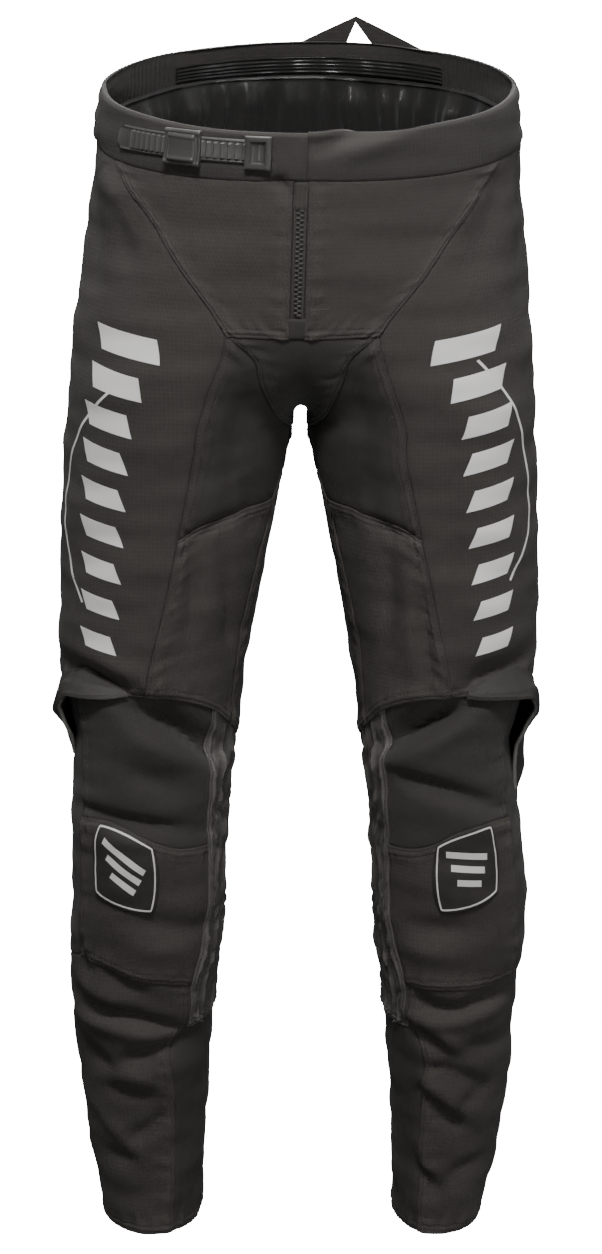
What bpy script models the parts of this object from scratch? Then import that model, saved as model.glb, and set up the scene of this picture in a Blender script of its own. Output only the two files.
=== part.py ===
"""Off-road trousers, filled out as they are worn, with no wearer.

The cloth is one surface, worked out from a table of rings. It is cut along its seams
into panels, and each panel is a thin wall of its own. Trim that lies on a panel is made
from the same surface, moved out.

Metres, +Z up, -Y is the front, +X is the wearer's left. The origin is the middle of the
waist, where the trousers are held.
"""
import math

import bmesh
import bpy
import numpy as np

# Walls and gaps
CLOTH = 0.0015
STRETCH_CLOTH = 0.0013
LEATHER = 0.0020
WAISTBAND_WALL = 0.0030
LINING_WALL = 0.0010
SEAM_GAP = 0.0003
UNDER_HEM = 0.0020
SHARPEST_CORNER = 0.3

# Waist
WAIST_TILT = 0.019
BAND_HEIGHT_FRONT = 0.037
BAND_HEIGHT_SIDE = 0.043
BAND_FRONT_END = 2.0
BAND_BACK_START = 48.0

# Legs and crotch. One degree of turn is about LEG_DEGREE long on a leg. A ring that goes
# on to WHOLE_RING is a leg of its own. Creases fade sideways within MIDDLE_FADE of the middle.
CROTCH_HEIGHT = -0.262
CROTCH_ROUNDING = 0.008
HEM_HEIGHT = -1.000
LEG_DEGREE = 0.0015
WHOLE_RING = 179.9
MIDDLE_FADE = 0.03
RIGHT, LEFT = -1, 1
SIDE_NAMES = {RIGHT: "right", LEFT: "left"}

# The cloth's rings from the hem to the waist. Outer and inner are the distances of a leg's
# two sides from the middle of the garment. An inner side below CROTCH_ROUNDING lies past
# the middle, and the two legs are joined there. Lean moves the whole ring to the side.
RING_COLUMNS = (
    "z", "lean", "outer_right", "outer_left", "inner", "front", "back", "middle", "squareness"
)
RINGS = np.array((
    (-1.000, -0.010, 0.170, 0.162, 0.0865, -0.042, 0.068, 0.014, 0.00),
    (-0.950, -0.009, 0.180, 0.173, 0.0830, -0.046, 0.070, 0.013, 0.01),
    (-0.900, -0.008, 0.187, 0.180, 0.0810, -0.052, 0.071, 0.010, 0.01),
    (-0.840, -0.008, 0.193, 0.186, 0.0770, -0.064, 0.070, 0.004, 0.01),
    (-0.780, -0.008, 0.197, 0.188, 0.0730, -0.076, 0.066, -0.004, 0.02),
    (-0.720, -0.008, 0.196, 0.195, 0.0660, -0.088, 0.060, -0.012, 0.03),
    (-0.660, -0.008, 0.193, 0.193, 0.0630, -0.096, 0.055, -0.016, 0.03),
    (-0.600, -0.008, 0.193, 0.186, 0.0600, -0.098, 0.055, -0.018, 0.02),
    (-0.540, -0.008, 0.189, 0.180, 0.0520, -0.097, 0.060, -0.016, 0.02),
    (-0.480, -0.008, 0.200, 0.198, 0.0445, -0.098, 0.070, -0.012, 0.02),
    (-0.400, -0.007, 0.200, 0.199, 0.0305, -0.102, 0.086, -0.008, 0.02),
    (-0.320, -0.007, 0.197, 0.197, 0.0165, -0.107, 0.103, -0.004, 0.02),
    (-0.280, -0.007, 0.194, 0.195, 0.0105, -0.110, 0.113, 0.000, 0.02),
    (CROTCH_HEIGHT, -0.006, 0.193, 0.194, CROTCH_ROUNDING, -0.112, 0.118, 0.000, 0.02),
    (-0.250, -0.006, 0.192, 0.193, 0.0000, -0.113, 0.122, 0.000, 0.02),
    (-0.225, -0.006, 0.190, 0.191, -0.0260, -0.116, 0.128, 0.000, 0.02),
    (-0.190, -0.005, 0.187, 0.188, -0.0780, -0.118, 0.134, 0.000, 0.02),
    (-0.120, -0.003, 0.179, 0.181, -0.1500, -0.121, 0.134, 0.000, 0.01),
    (-0.050, -0.001, 0.172, 0.173, -0.1720, -0.120, 0.126, 0.000, 0.00),
    (0.000, 0.000, 0.167, 0.168, -0.1670, -0.118, 0.118, 0.000, 0.00),
    (0.060, 0.001, 0.163, 0.164, -0.1630, -0.116, 0.112, 0.000, 0.00),
))

# Creases that stay in the cloth when it is filled out. Side is RIGHT, LEFT or 0 for both.
# Each runs from a start to an end, as heights and turns round the leg. Rise is how far the
# cloth stands out, or sinks in where it is negative, and reach is half of the crease's width.
# Columns: side, z_start, turn_start, z_end, turn_end, rise, reach.
FOLDS = np.array((
    (RIGHT, -0.056, -20, -0.113, -42, 0.0040, 0.010),
    (RIGHT, -0.079, -32, -0.128, -44, -0.0035, 0.009),
    (RIGHT, -0.492, -84, -0.552, -128, -0.0060, 0.015),
    (RIGHT, -0.520, -60, -0.566, -100, 0.0035, 0.016),
    (RIGHT, -0.590, -45, -0.606, -112, -0.0045, 0.011),
    (RIGHT, -0.695, -60, -0.712, -118, -0.0030, 0.012),
    (RIGHT, -0.726, -40, -0.764, -98, 0.0050, 0.011),
    (RIGHT, -0.752, -30, -0.786, -92, -0.0045, 0.011),
    (RIGHT, -0.789, -39, -0.832, -66, -0.0045, 0.012),
    (RIGHT, -0.832, -66, -0.801, -112, -0.0040, 0.012),
    (RIGHT, -0.812, -40, -0.860, -84, 0.0035, 0.013),
    (RIGHT, -0.888, -48, -0.908, -78, -0.0040, 0.012),
    (RIGHT, -0.908, -78, -0.884, -106, -0.0035, 0.012),
    (RIGHT, -0.945, -60, -0.955, -112, -0.0025, 0.012),
    (LEFT, -0.494, -82, -0.538, -148, -0.0065, 0.014),
    (LEFT, -0.515, -60, -0.560, -110, 0.0035, 0.016),
    (LEFT, -0.562, -122, -0.592, -48, -0.0055, 0.014),
    (LEFT, -0.770, -108, -0.758, -66, 0.0040, 0.012),
    (LEFT, -0.800, -110, -0.824, -80, -0.0045, 0.012),
    (LEFT, -0.824, -80, -0.808, -30, -0.0040, 0.012),
    (LEFT, -0.857, -106, -0.890, -74, -0.0040, 0.012),
    (LEFT, -0.890, -74, -0.874, -50, -0.0040, 0.012),
    (LEFT, -0.872, -105, -0.912, -84, 0.0030, 0.012),
    (LEFT, -0.905, -106, -0.941, -88, -0.0035, 0.012),
    (LEFT, -0.941, -88, -0.928, -54, -0.0035, 0.012),
    (0, -0.205, -100, -0.262, -138, -0.0035, 0.010),
    (0, -0.300, -128, -0.360, -146, -0.0030, 0.012),
    (0, -0.372, -120, -0.452, -132, -0.0035, 0.014),
    (0, -0.392, -100, -0.476, -108, 0.0030, 0.014),
    (0, -0.440, -30, -0.468, -62, -0.0035, 0.014),
    (0, -0.230, 62, -0.300, 132, -0.0050, 0.018),
    (0, -0.270, 60, -0.334, 118, 0.0040, 0.018),
    (0, -0.470, 58, -0.488, 140, -0.0045, 0.014),
    (0, -0.548, 60, -0.556, 126, -0.0060, 0.012),
    (0, -0.576, 60, -0.586, 126, 0.0035, 0.012),
    (0, -0.602, 60, -0.614, 126, -0.0060, 0.013),
    (0, -0.660, 62, -0.648, 124, -0.0040, 0.014),
    (0, -0.792, 20, -0.812, 100, -0.0035, 0.014),
    (0, -0.872, 50, -0.896, 140, -0.0035, 0.014),
))

# Seams, as rows of height and of turn round the leg in degrees. Turn 0 is the outer side,
# negative turns lie to the front, and -180 is the inner side.
HIP_CORNER = (-0.180, -85)
THIGH_CORNER = (-0.352, -97)
KNEE_CORNER = (-0.489, -87)
GUSSET_LOW = (-0.285, -180)
INSEAM_MIDDLE = (-0.332, -160)
INSEAM_KNEE = (-0.524, -152)
SIDE_SEAT = (-0.262, 44)
SIDE_KNEE = (-0.494, 40)
KNEE_OUTER = (-0.491, -36)
GUARD_FRONT = (-0.504, -131)
GUARD_BACK = (-0.530, -215)
PATCH_TOP_OUTER = (-0.602, -36)
PATCH_TOP_INNER = (-0.625, -139)
GUARD_LOW_FRONT = (-0.797, -130)
GUARD_LOW_BACK = (-0.797, -212)
SIDE_CALF = (-0.762, 38)
YOKE_HEIGHT = -0.184
GUSSET_TOP_HEIGHT = -0.205
GUSSET_TOP_HALF_WIDTH = 0.006
PATCH_LOW_OUTER = {RIGHT: (-0.730, -36), LEFT: (-0.780, -32)}
PATCH_LOW = {
    RIGHT: ((-0.733, -60), (-0.746, -88), (-0.756, -108)),
    LEFT: ((-0.777, -66), (-0.787, -99)),
}
HEM_TURNS = {"side": 40.0, "shin": -118.0, "calf": -205.0}

# Number of cells along each stretch of seam
HIP_CELLS = 6
UPPER_THIGH_CELLS = 6
LOWER_THIGH_CELLS = 5
KNEE_CELLS = 4
PATCH_CELLS = 6
SHIN_CELLS = 10
FRONT_CELLS = 8
SIDE_FRONT_CELLS = 4
SIDE_BACK_CELLS = 6
SEAT_CELLS = 7
GUSSET_CELLS = 6
GUSSET_HALF_CELLS = 5
OUTER_KNEE_CELLS = 6
KNEE_FRONT_CELLS = 4
KNEE_INNER_CELLS = 4
GUARD_FRONT_CELLS = 2
GUARD_BACK_CELLS = 4
BACK_KNEE_CELLS = 8
BAND_CELLS = 2

# How far each row of the pieces below the knee's hem lies under the hem, as a share
UNDER_HEM_SHARES = (1.0, 0.5, 0.15)

# Zip and fly. The zip lies to the wearer's right of the middle.
# Columns: name, top, distances of its two edges from the middle, off, wall, finish.
ZIP_EDGES = {RIGHT: 0.0110, LEFT: 0.0015}
STOP_EDGES = {RIGHT: 0.0125, LEFT: 0.0035}
FLY_BOTTOM = -0.183
FLY_ROWS = 5
FLY_PIECES = (
    ("zip_tape", -0.0572, ZIP_EDGES, -0.0004, 0.0015, "tape"),
    ("zip_stop", -0.1660, STOP_EDGES, 0.0011, 0.0008, "smooth cloth"),
)

# Elastic at the sides of the waist
ELASTIC_RIBS = 14
RIB_HEIGHT = 0.0012
RIB_SHARE_AT_SEAMS = 0.35

# Inside of the back waist
GRIPPER_TOP = 0.0125
GRIPPER_BOTTOM = 0.0255
GRIPPER_WALL = 0.0008
LINING_TOP = 0.0275
LINING_BOTTOM_HEIGHT = -0.105
LINING_TURN = 12.0
LINING_CLEARANCE = 0.0008

# Hanging loop on the back of the waistband: places along x and z of its tape's two edges
LOOP_EDGES = (
    ((-0.018, -0.002), (-0.0054, 0.0183), (0.0395, 0.040), (0.096, 0.0132), (0.106, -0.002)),
    ((0.026, -0.002), (0.030, 0.013), (0.0392, 0.035), (0.0555, 0.013), (0.062, -0.002)),
)
LOOP_CLEARANCE = 0.0007
LOOP_WALL = 0.0012
LOOP_STEPS = 4

# Ratchet fastening on the right front of the waistband. The strap's path drops a little
# from turn 0 to the front. Each piece follows it between two turns, and lies above the
# waistband by its clearance. Columns: name, start, end, half height, cells, clearance, wall,
# finish.
STRAP_HEIGHT = -0.0292
STRAP_SLOPE = 0.00006
RATCHET_PIECES = (
    ("strap_base", -31.0, -81.4, 0.0085, 10, 0.0004, 0.0012, "tape"),
    ("toothed_strap", -28.6, -78.0, 0.0098, 10, 0.0019, 0.0016, "black plastic"),
    ("ratchet_buckle", -50.0, -61.0, 0.0140, 4, 0.0038, 0.0036, "black plastic"),
    ("ratchet_lever", -51.4, -59.6, 0.0112, 3, 0.0077, 0.0018, "black plastic"),
    ("strap_keeper", -73.2, -80.0, 0.0132, 3, 0.0038, 0.0028, "black plastic"),
)

# Knee hood: the stiff band that stands off the outer side of the knee. Each row crosses it
# from its mouth over its crest to its root, as heights, turns and how far each stands off.
HOOD_COLUMNS = (
    "mouth_z", "mouth_turn", "mouth_off", "crest_z", "crest_turn", "crest_off", "root_z", "root_turn"
)
HOOD = (
    (-0.4895, -77, 0.0012, -0.4865, -76, 0.0012, -0.4840, -75),
    (-0.4910, -60, 0.0070, -0.4840, -58, 0.0060, -0.4740, -58),
    (-0.4930, -38, 0.0150, -0.4850, -30, 0.0115, -0.4690, -42),
    (-0.5040, -25, 0.0175, -0.5040, -6, 0.0160, -0.4780, -2),
    (-0.5300, -20, 0.0140, -0.5270, -2, 0.0120, -0.5240, 26),
    (-0.5540, -17, 0.0050, -0.5560, -3, 0.0055, -0.5740, 22),
    (-0.5660, -16, 0.0012, -0.5700, -8, 0.0014, -0.5900, 6),
)
HOOD_HINGE = -0.510
HOOD_STRETCH = {RIGHT: 0.75, LEFT: 1.45}
HOOD_SPREAD = {RIGHT: 0.50, LEFT: 0.88}
HOOD_WALL = 0.0020
HOOD_ROOT_OFF = 0.0008
HOOD_END_OFF = 0.0012
HOOD_STEPS = 4

# Knee badge: a plain rounded four-sided patch
BADGE_CENTRE = {RIGHT: (-0.640, -75), LEFT: (-0.639, -78)}
BADGE_HALF_WIDTH = 0.036
BADGE_HALF_HEIGHT = 0.036
BADGE_CORNER_ROUNDING = 0.17
BADGE_SLANT = 0.25
BADGE_CELLS = 6
BADGE_WALL = 0.0009

# Colours, roughness and metallic value of each finish
FINISHES = {
    "woven cloth": ((0.036, 0.034, 0.032), 0.78, 0.0),
    "smooth cloth": ((0.030, 0.028, 0.027), 0.62, 0.0),
    "stretch cloth": ((0.026, 0.025, 0.024), 0.82, 0.0),
    "leather": ((0.040, 0.038, 0.036), 0.50, 0.0),
    "rib elastic": ((0.022, 0.021, 0.020), 0.85, 0.0),
    "satin lining": ((0.012, 0.012, 0.013), 0.35, 0.0),
    "gripper rubber": ((0.018, 0.018, 0.018), 0.30, 0.0),
    "tape": ((0.024, 0.023, 0.022), 0.70, 0.0),
    "badge rubber": ((0.028, 0.027, 0.026), 0.45, 0.0),
    "black plastic": ((0.020, 0.020, 0.021), 0.28, 0.0),
}


def smooth_column(knots, values, places):
    """Cubic curve through the values, with each knot's slope from its neighbours."""
    slopes = np.gradient(values, knots)
    low = np.clip(np.searchsorted(knots, places) - 1, 0, len(knots) - 2)
    span = knots[low + 1] - knots[low]
    share = np.clip((places - knots[low]) / span, 0.0, 1.0)
    rise = share * share * (3.0 - 2.0 * share)
    start_bend = share * (1.0 - share) ** 2 * span * slopes[low]
    end_bend = share * share * (share - 1.0) * span * slopes[low + 1]
    return values[low] + rise * (values[low + 1] - values[low]) + start_bend + end_bend


def ring_value(z, name):
    """A column of the ring table at any height."""
    return smooth_column(RINGS[:, 0], RINGS[:, RING_COLUMNS.index(name)], z)


def ring_shape(side, z):
    """Middle, half width and squareness of one leg's ring, and the turn where it meets the
    middle of the garment. The turn solves half * (cos - k cos 3) / (1 - k) = rounding - middle."""
    outer = ring_value(z, "outer_left" if side == LEFT else "outer_right")
    inner = ring_value(z, "inner")
    squareness = ring_value(z, "squareness")
    middle, half = (outer + inner) / 2, (outer - inner) / 2
    share = np.minimum((middle - CROTCH_ROUNDING) / half, 1.0)
    cosine = -share
    for _ in range(6):
        miss = cosine * (1 + 3 * squareness) - 4 * squareness * cosine**3 + share * (1 - squareness)
        cosine = cosine - miss / (1 + 3 * squareness - 12 * squareness * cosine**2)
    end_turn = np.degrees(np.arccos(np.clip(cosine, -1.0, 1.0)))
    return middle, half, squareness, end_turn


def fold_rise(side, z, turn):
    """Sum of the creases: each one's rise falls off as a bell curve from its line."""
    total = np.zeros_like(z)
    for fold_side, z_start, turn_start, z_end, turn_end, rise, reach in FOLDS:
        if fold_side not in (0, side):
            continue
        along = np.array(((turn_end - turn_start) * LEG_DEGREE, z_end - z_start))
        across_place = ((turn - turn_start + 180.0) % 360.0 - 180.0) * LEG_DEGREE
        share = (across_place * along[0] + (z - z_start) * along[1]) / along.dot(along)
        share = np.clip(share, 0.0, 1.0)
        distance = np.hypot(across_place - share * along[0], z - z_start - share * along[1])
        total = total + rise * np.exp(-((distance / reach) ** 2))
    return total


def cloth_point(side, z, turn):
    """Point of the cloth: a rounded ring, pulled smoothly to the middle at the crotch."""
    z, turn = np.broadcast_arrays(np.asarray(z, float), np.asarray(turn, float))
    middle, half, squareness, _ = ring_shape(side, z)
    angle = np.radians(turn)
    reach_out = middle + half * (np.cos(angle) - squareness * np.cos(3 * angle)) / (1 - squareness)
    swing = (np.sin(angle) + squareness * np.sin(3 * angle)) / (1 - squareness)
    depth_middle = ring_value(z, "middle")
    front_depth = depth_middle - ring_value(z, "front")
    back_depth = ring_value(z, "back") - depth_middle
    off_middle = np.sqrt(np.maximum(reach_out**2 - CROTCH_ROUNDING**2, 0.0))
    rise = fold_rise(side, z, turn)
    x_share = np.clip(off_middle / MIDDLE_FADE, 0.0, 1.0)
    x = side * (off_middle + rise * np.cos(angle) * x_share) + ring_value(z, "lean")
    y = depth_middle + np.where(swing < 0, front_depth, back_depth) * swing + rise * np.sin(angle)
    return np.stack((x, y, z), axis=-1)


def cloth_normal(side, z, turn):
    """Outward normal, from two short steps that stay on the cloth."""
    z, turn = np.broadcast_arrays(np.asarray(z, float), np.asarray(turn, float))
    step_z, step_turn = 0.0006, 0.5
    end = ring_shape(side, z)[3]
    end_above = ring_shape(side, z + step_z)[3]
    end_below = ring_shape(side, z - step_z)[3]
    limit = np.where(end < WHOLE_RING, end, np.inf)
    later = cloth_point(side, z, np.minimum(turn + step_turn, limit))
    earlier = cloth_point(side, z, np.maximum(turn - step_turn, -limit))
    above = cloth_point(side, z + step_z, turn * end_above / end)
    below = cloth_point(side, z - step_z, turn * end_below / end)
    normal = side * np.cross(later - earlier, above - below)
    on_middle = (end < WHOLE_RING) & (np.abs(np.abs(turn) - end) < 0.01)
    normal[..., 0] = np.where(on_middle, 0.0, normal[..., 0])
    return normal / np.linalg.norm(normal, axis=-1, keepdims=True)


def seam(points, cells):
    """A smooth seam through its points, as evenly spaced rows of height and turn."""
    points = np.array(points, float)
    steps = np.diff(points * (1.0, LEG_DEGREE), axis=0)
    lengths = np.concatenate(((0.0,), np.cumsum(np.hypot(steps[:, 0], steps[:, 1]))))
    places = np.linspace(0.0, lengths[-1], cells + 1)
    columns = [smooth_column(lengths, points[:, column], places) for column in (0, 1)]
    return np.stack(columns, axis=-1)


def join(*stretches):
    """One edge from stretches that follow each other."""
    return np.concatenate([stretches[0]] + [stretch[1:] for stretch in stretches[1:]])


def waist_height(turn):
    """Top edge of the waistband, lower at the front than at the back."""
    return WAIST_TILT * np.sin(np.radians(turn))


def band_seam_height(turn):
    """Seam below the waistband."""
    side_share = np.cos(np.radians(turn))
    height = BAND_HEIGHT_FRONT + (BAND_HEIGHT_SIDE - BAND_HEIGHT_FRONT) * side_share
    return waist_height(turn) - height


def level_seam(height_of_turn, start, end, cells):
    """A seam whose height depends on the turn alone."""
    turns = np.linspace(start, end, cells + 1)
    return np.stack((height_of_turn(turns), turns), axis=-1)


def turn_at_x(side, z, distance, sign):
    """Turn of the cloth at a distance from the middle, on the front (-1) or back (1)."""
    turns = np.linspace(179.0, 40.0, 280)
    middle, half, squareness, _ = ring_shape(side, np.full_like(turns, z))
    angle = np.radians(turns)
    reach_out = middle + half * (np.cos(angle) - squareness * np.cos(3 * angle)) / (1 - squareness)
    wanted = math.hypot(distance, CROTCH_ROUNDING)
    return sign * float(np.interp(wanted, reach_out, turns))


def middle_seam(side, z_start, z_end, cells, sign, distance=0.0):
    """Seam down the middle of the front (-1) or back (1), or a little way beside it."""
    heights = np.linspace(z_start, z_end, cells + 1)
    if distance > 0:
        turns = np.array([turn_at_x(side, z, distance, sign) for z in heights])
    else:
        turns = sign * ring_shape(side, heights)[3]
    return np.stack((heights, turns), axis=-1)


def fill_patch(top, bottom, start, end):
    """Fills four edges. Top and bottom run from start to end, and start and end run down."""
    across = np.linspace(0.0, 1.0, len(top))[None, :, None]
    down = np.linspace(0.0, 1.0, len(start))[:, None, None]
    between = (1 - down) * top[None] + down * bottom[None]
    sideways = (1 - across) * start[:, None] + across * end[:, None]
    corners = (
        (1 - across) * (1 - down) * top[0] + across * (1 - down) * top[-1]
        + (1 - across) * down * bottom[0] + across * down * bottom[-1]
    )
    return between + sideways - corners


def unit(vectors):
    """Vectors of length one."""
    return vectors / np.maximum(np.linalg.norm(vectors, axis=-1, keepdims=True), 1e-12)


def edge_inward(points, normals, towards):
    """Direction from an edge into its panel, in the cloth and square to the edge."""
    tangents = unit(np.gradient(points, axis=0))
    inward = unit(np.cross(normals, tangents))
    sign = np.sign(np.sum(inward * (towards - points), axis=-1, keepdims=True))
    return inward * sign


def pull_in_edges(points, normals, gap=SEAM_GAP / 2):
    """Moves the four edges in by half of the seam gap, and the corners square to both edges."""
    moved = points.copy()
    top = edge_inward(points[0], normals[0], points[1])
    bottom = edge_inward(points[-1], normals[-1], points[-2])
    start = edge_inward(points[:, 0], normals[:, 0], points[:, 1])
    end = edge_inward(points[:, -1], normals[:, -1], points[:, -2])
    moved[0, 1:-1] += gap * top[1:-1]
    moved[-1, 1:-1] += gap * bottom[1:-1]
    moved[1:-1, 0] += gap * start[1:-1]
    moved[1:-1, -1] += gap * end[1:-1]
    corners = (
        (0, 0, top[0], start[0]), (0, -1, top[-1], end[0]),
        (-1, 0, bottom[0], start[-1]), (-1, -1, bottom[-1], end[-1]),
    )
    for row, column, first, second in corners:
        moved[row, column] += gap * (first + second) / max(1.0 + first.dot(second), SHARPEST_CORNER)
    return moved


def finish_material(name, finish):
    """A Principled material with the finish's colour, roughness and metallic value."""
    colour, roughness, metallic = FINISHES[finish]
    material = bpy.data.materials.new(name)
    material.use_nodes = True
    shader = material.node_tree.nodes["Principled BSDF"]
    shader.inputs["Base Color"].default_value = (*colour, 1.0)
    shader.inputs["Roughness"].default_value = roughness
    shader.inputs["Metallic"].default_value = metallic
    return material


def add_object(name, mesh, finish):
    """Puts a mesh into the garment's collection with its own material."""
    mesh.shade_smooth()
    mesh.set_sharp_from_angle(angle=math.radians(40))
    mesh.materials.append(finish_material(name, finish))
    piece = bpy.data.objects.new(name, mesh)
    bpy.data.collections["off_road_trousers"].objects.link(piece)
    return piece


def add_wall(name, outer, inner, finish):
    """A closed wall between two grids of points."""
    rows, columns = outer.shape[:2]
    outer_points, inner_points = outer.reshape(-1, 3), inner.reshape(-1, 3)
    shape = bmesh.new()
    bmesh.ops.create_grid(shape, x_segments=columns - 1, y_segments=rows - 1, size=0.5)
    place = shape.verts.layers.int.new("place")
    for vertex in shape.verts:
        column = round((vertex.co.x + 0.5) * (columns - 1))
        row = round((vertex.co.y + 0.5) * (rows - 1))
        vertex[place] = row * columns + column
    extruded = bmesh.ops.extrude_face_region(shape, geom=list(shape.faces))
    for vertex in shape.verts:
        vertex.co = outer_points[vertex[place]]
    for item in extruded["geom"]:
        if isinstance(item, bmesh.types.BMVert):
            item.co = inner_points[item[place]]
    bmesh.ops.recalc_face_normals(shape, faces=shape.faces)
    if shape.calc_volume(signed=True) < 0:
        bmesh.ops.reverse_faces(shape, faces=shape.faces)
    mesh = bpy.data.meshes.new(name)
    shape.to_mesh(mesh)
    shape.free()
    return add_object(name, mesh, finish)


def add_panel(name, side, patch, finish, thickness=CLOTH, off=0.0, under_hem=False, ribs=0):
    """One panel of cloth: its outer face on the cloth's surface, its wall inwards."""
    z, turn = patch[..., 0], patch[..., 1]
    normals = cloth_normal(side, z, turn)
    points = pull_in_edges(cloth_point(side, z, turn), normals)
    if under_hem:
        sink = np.zeros(points.shape[:2])
        for row, share in enumerate(UNDER_HEM_SHARES):
            sink[row] = share * UNDER_HEM
        points = points - sink[..., None] * unit(normals * (1.0, 1.0, 0.0))
    outer = points + off * normals
    if ribs:
        waves = 0.5 - 0.5 * np.cos(np.linspace(0, 2 * math.pi * ribs, points.shape[1]))
        fade = np.ones(points.shape[0])
        fade[[0, -1]] = RIB_SHARE_AT_SEAMS
        outer = outer + (RIB_HEIGHT * fade[:, None] * waves[None])[..., None] * normals
    return add_wall(name, outer, points + (off - thickness) * normals, finish)


def add_both_sides(name, patches, finish, thickness, off=0.0):
    """A panel that crosses the middle, where each half's last column lies."""
    points, normals = [], []
    for side in (RIGHT, LEFT):
        z, turn = patches[side][..., 0], patches[side][..., 1]
        half_points, half_normals = cloth_point(side, z, turn), cloth_normal(side, z, turn)
        if side == LEFT:
            half_points, half_normals = half_points[:, -2::-1], half_normals[:, -2::-1]
        points.append(half_points)
        normals.append(half_normals)
    points, normals = np.concatenate(points, axis=1), np.concatenate(normals, axis=1)
    along, down = np.gradient(points, axis=1), np.gradient(points, axis=0)
    crossed = unit(np.cross(along, down))
    facing = np.sign(np.sum(crossed * normals, axis=-1, keepdims=True))
    crossed = crossed * np.median(facing)
    normals[1:-1, 1:-1] = crossed[1:-1, 1:-1]
    points = pull_in_edges(points, normals)
    return add_wall(name, points + off * normals, points + (off - thickness) * normals, finish)


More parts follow.
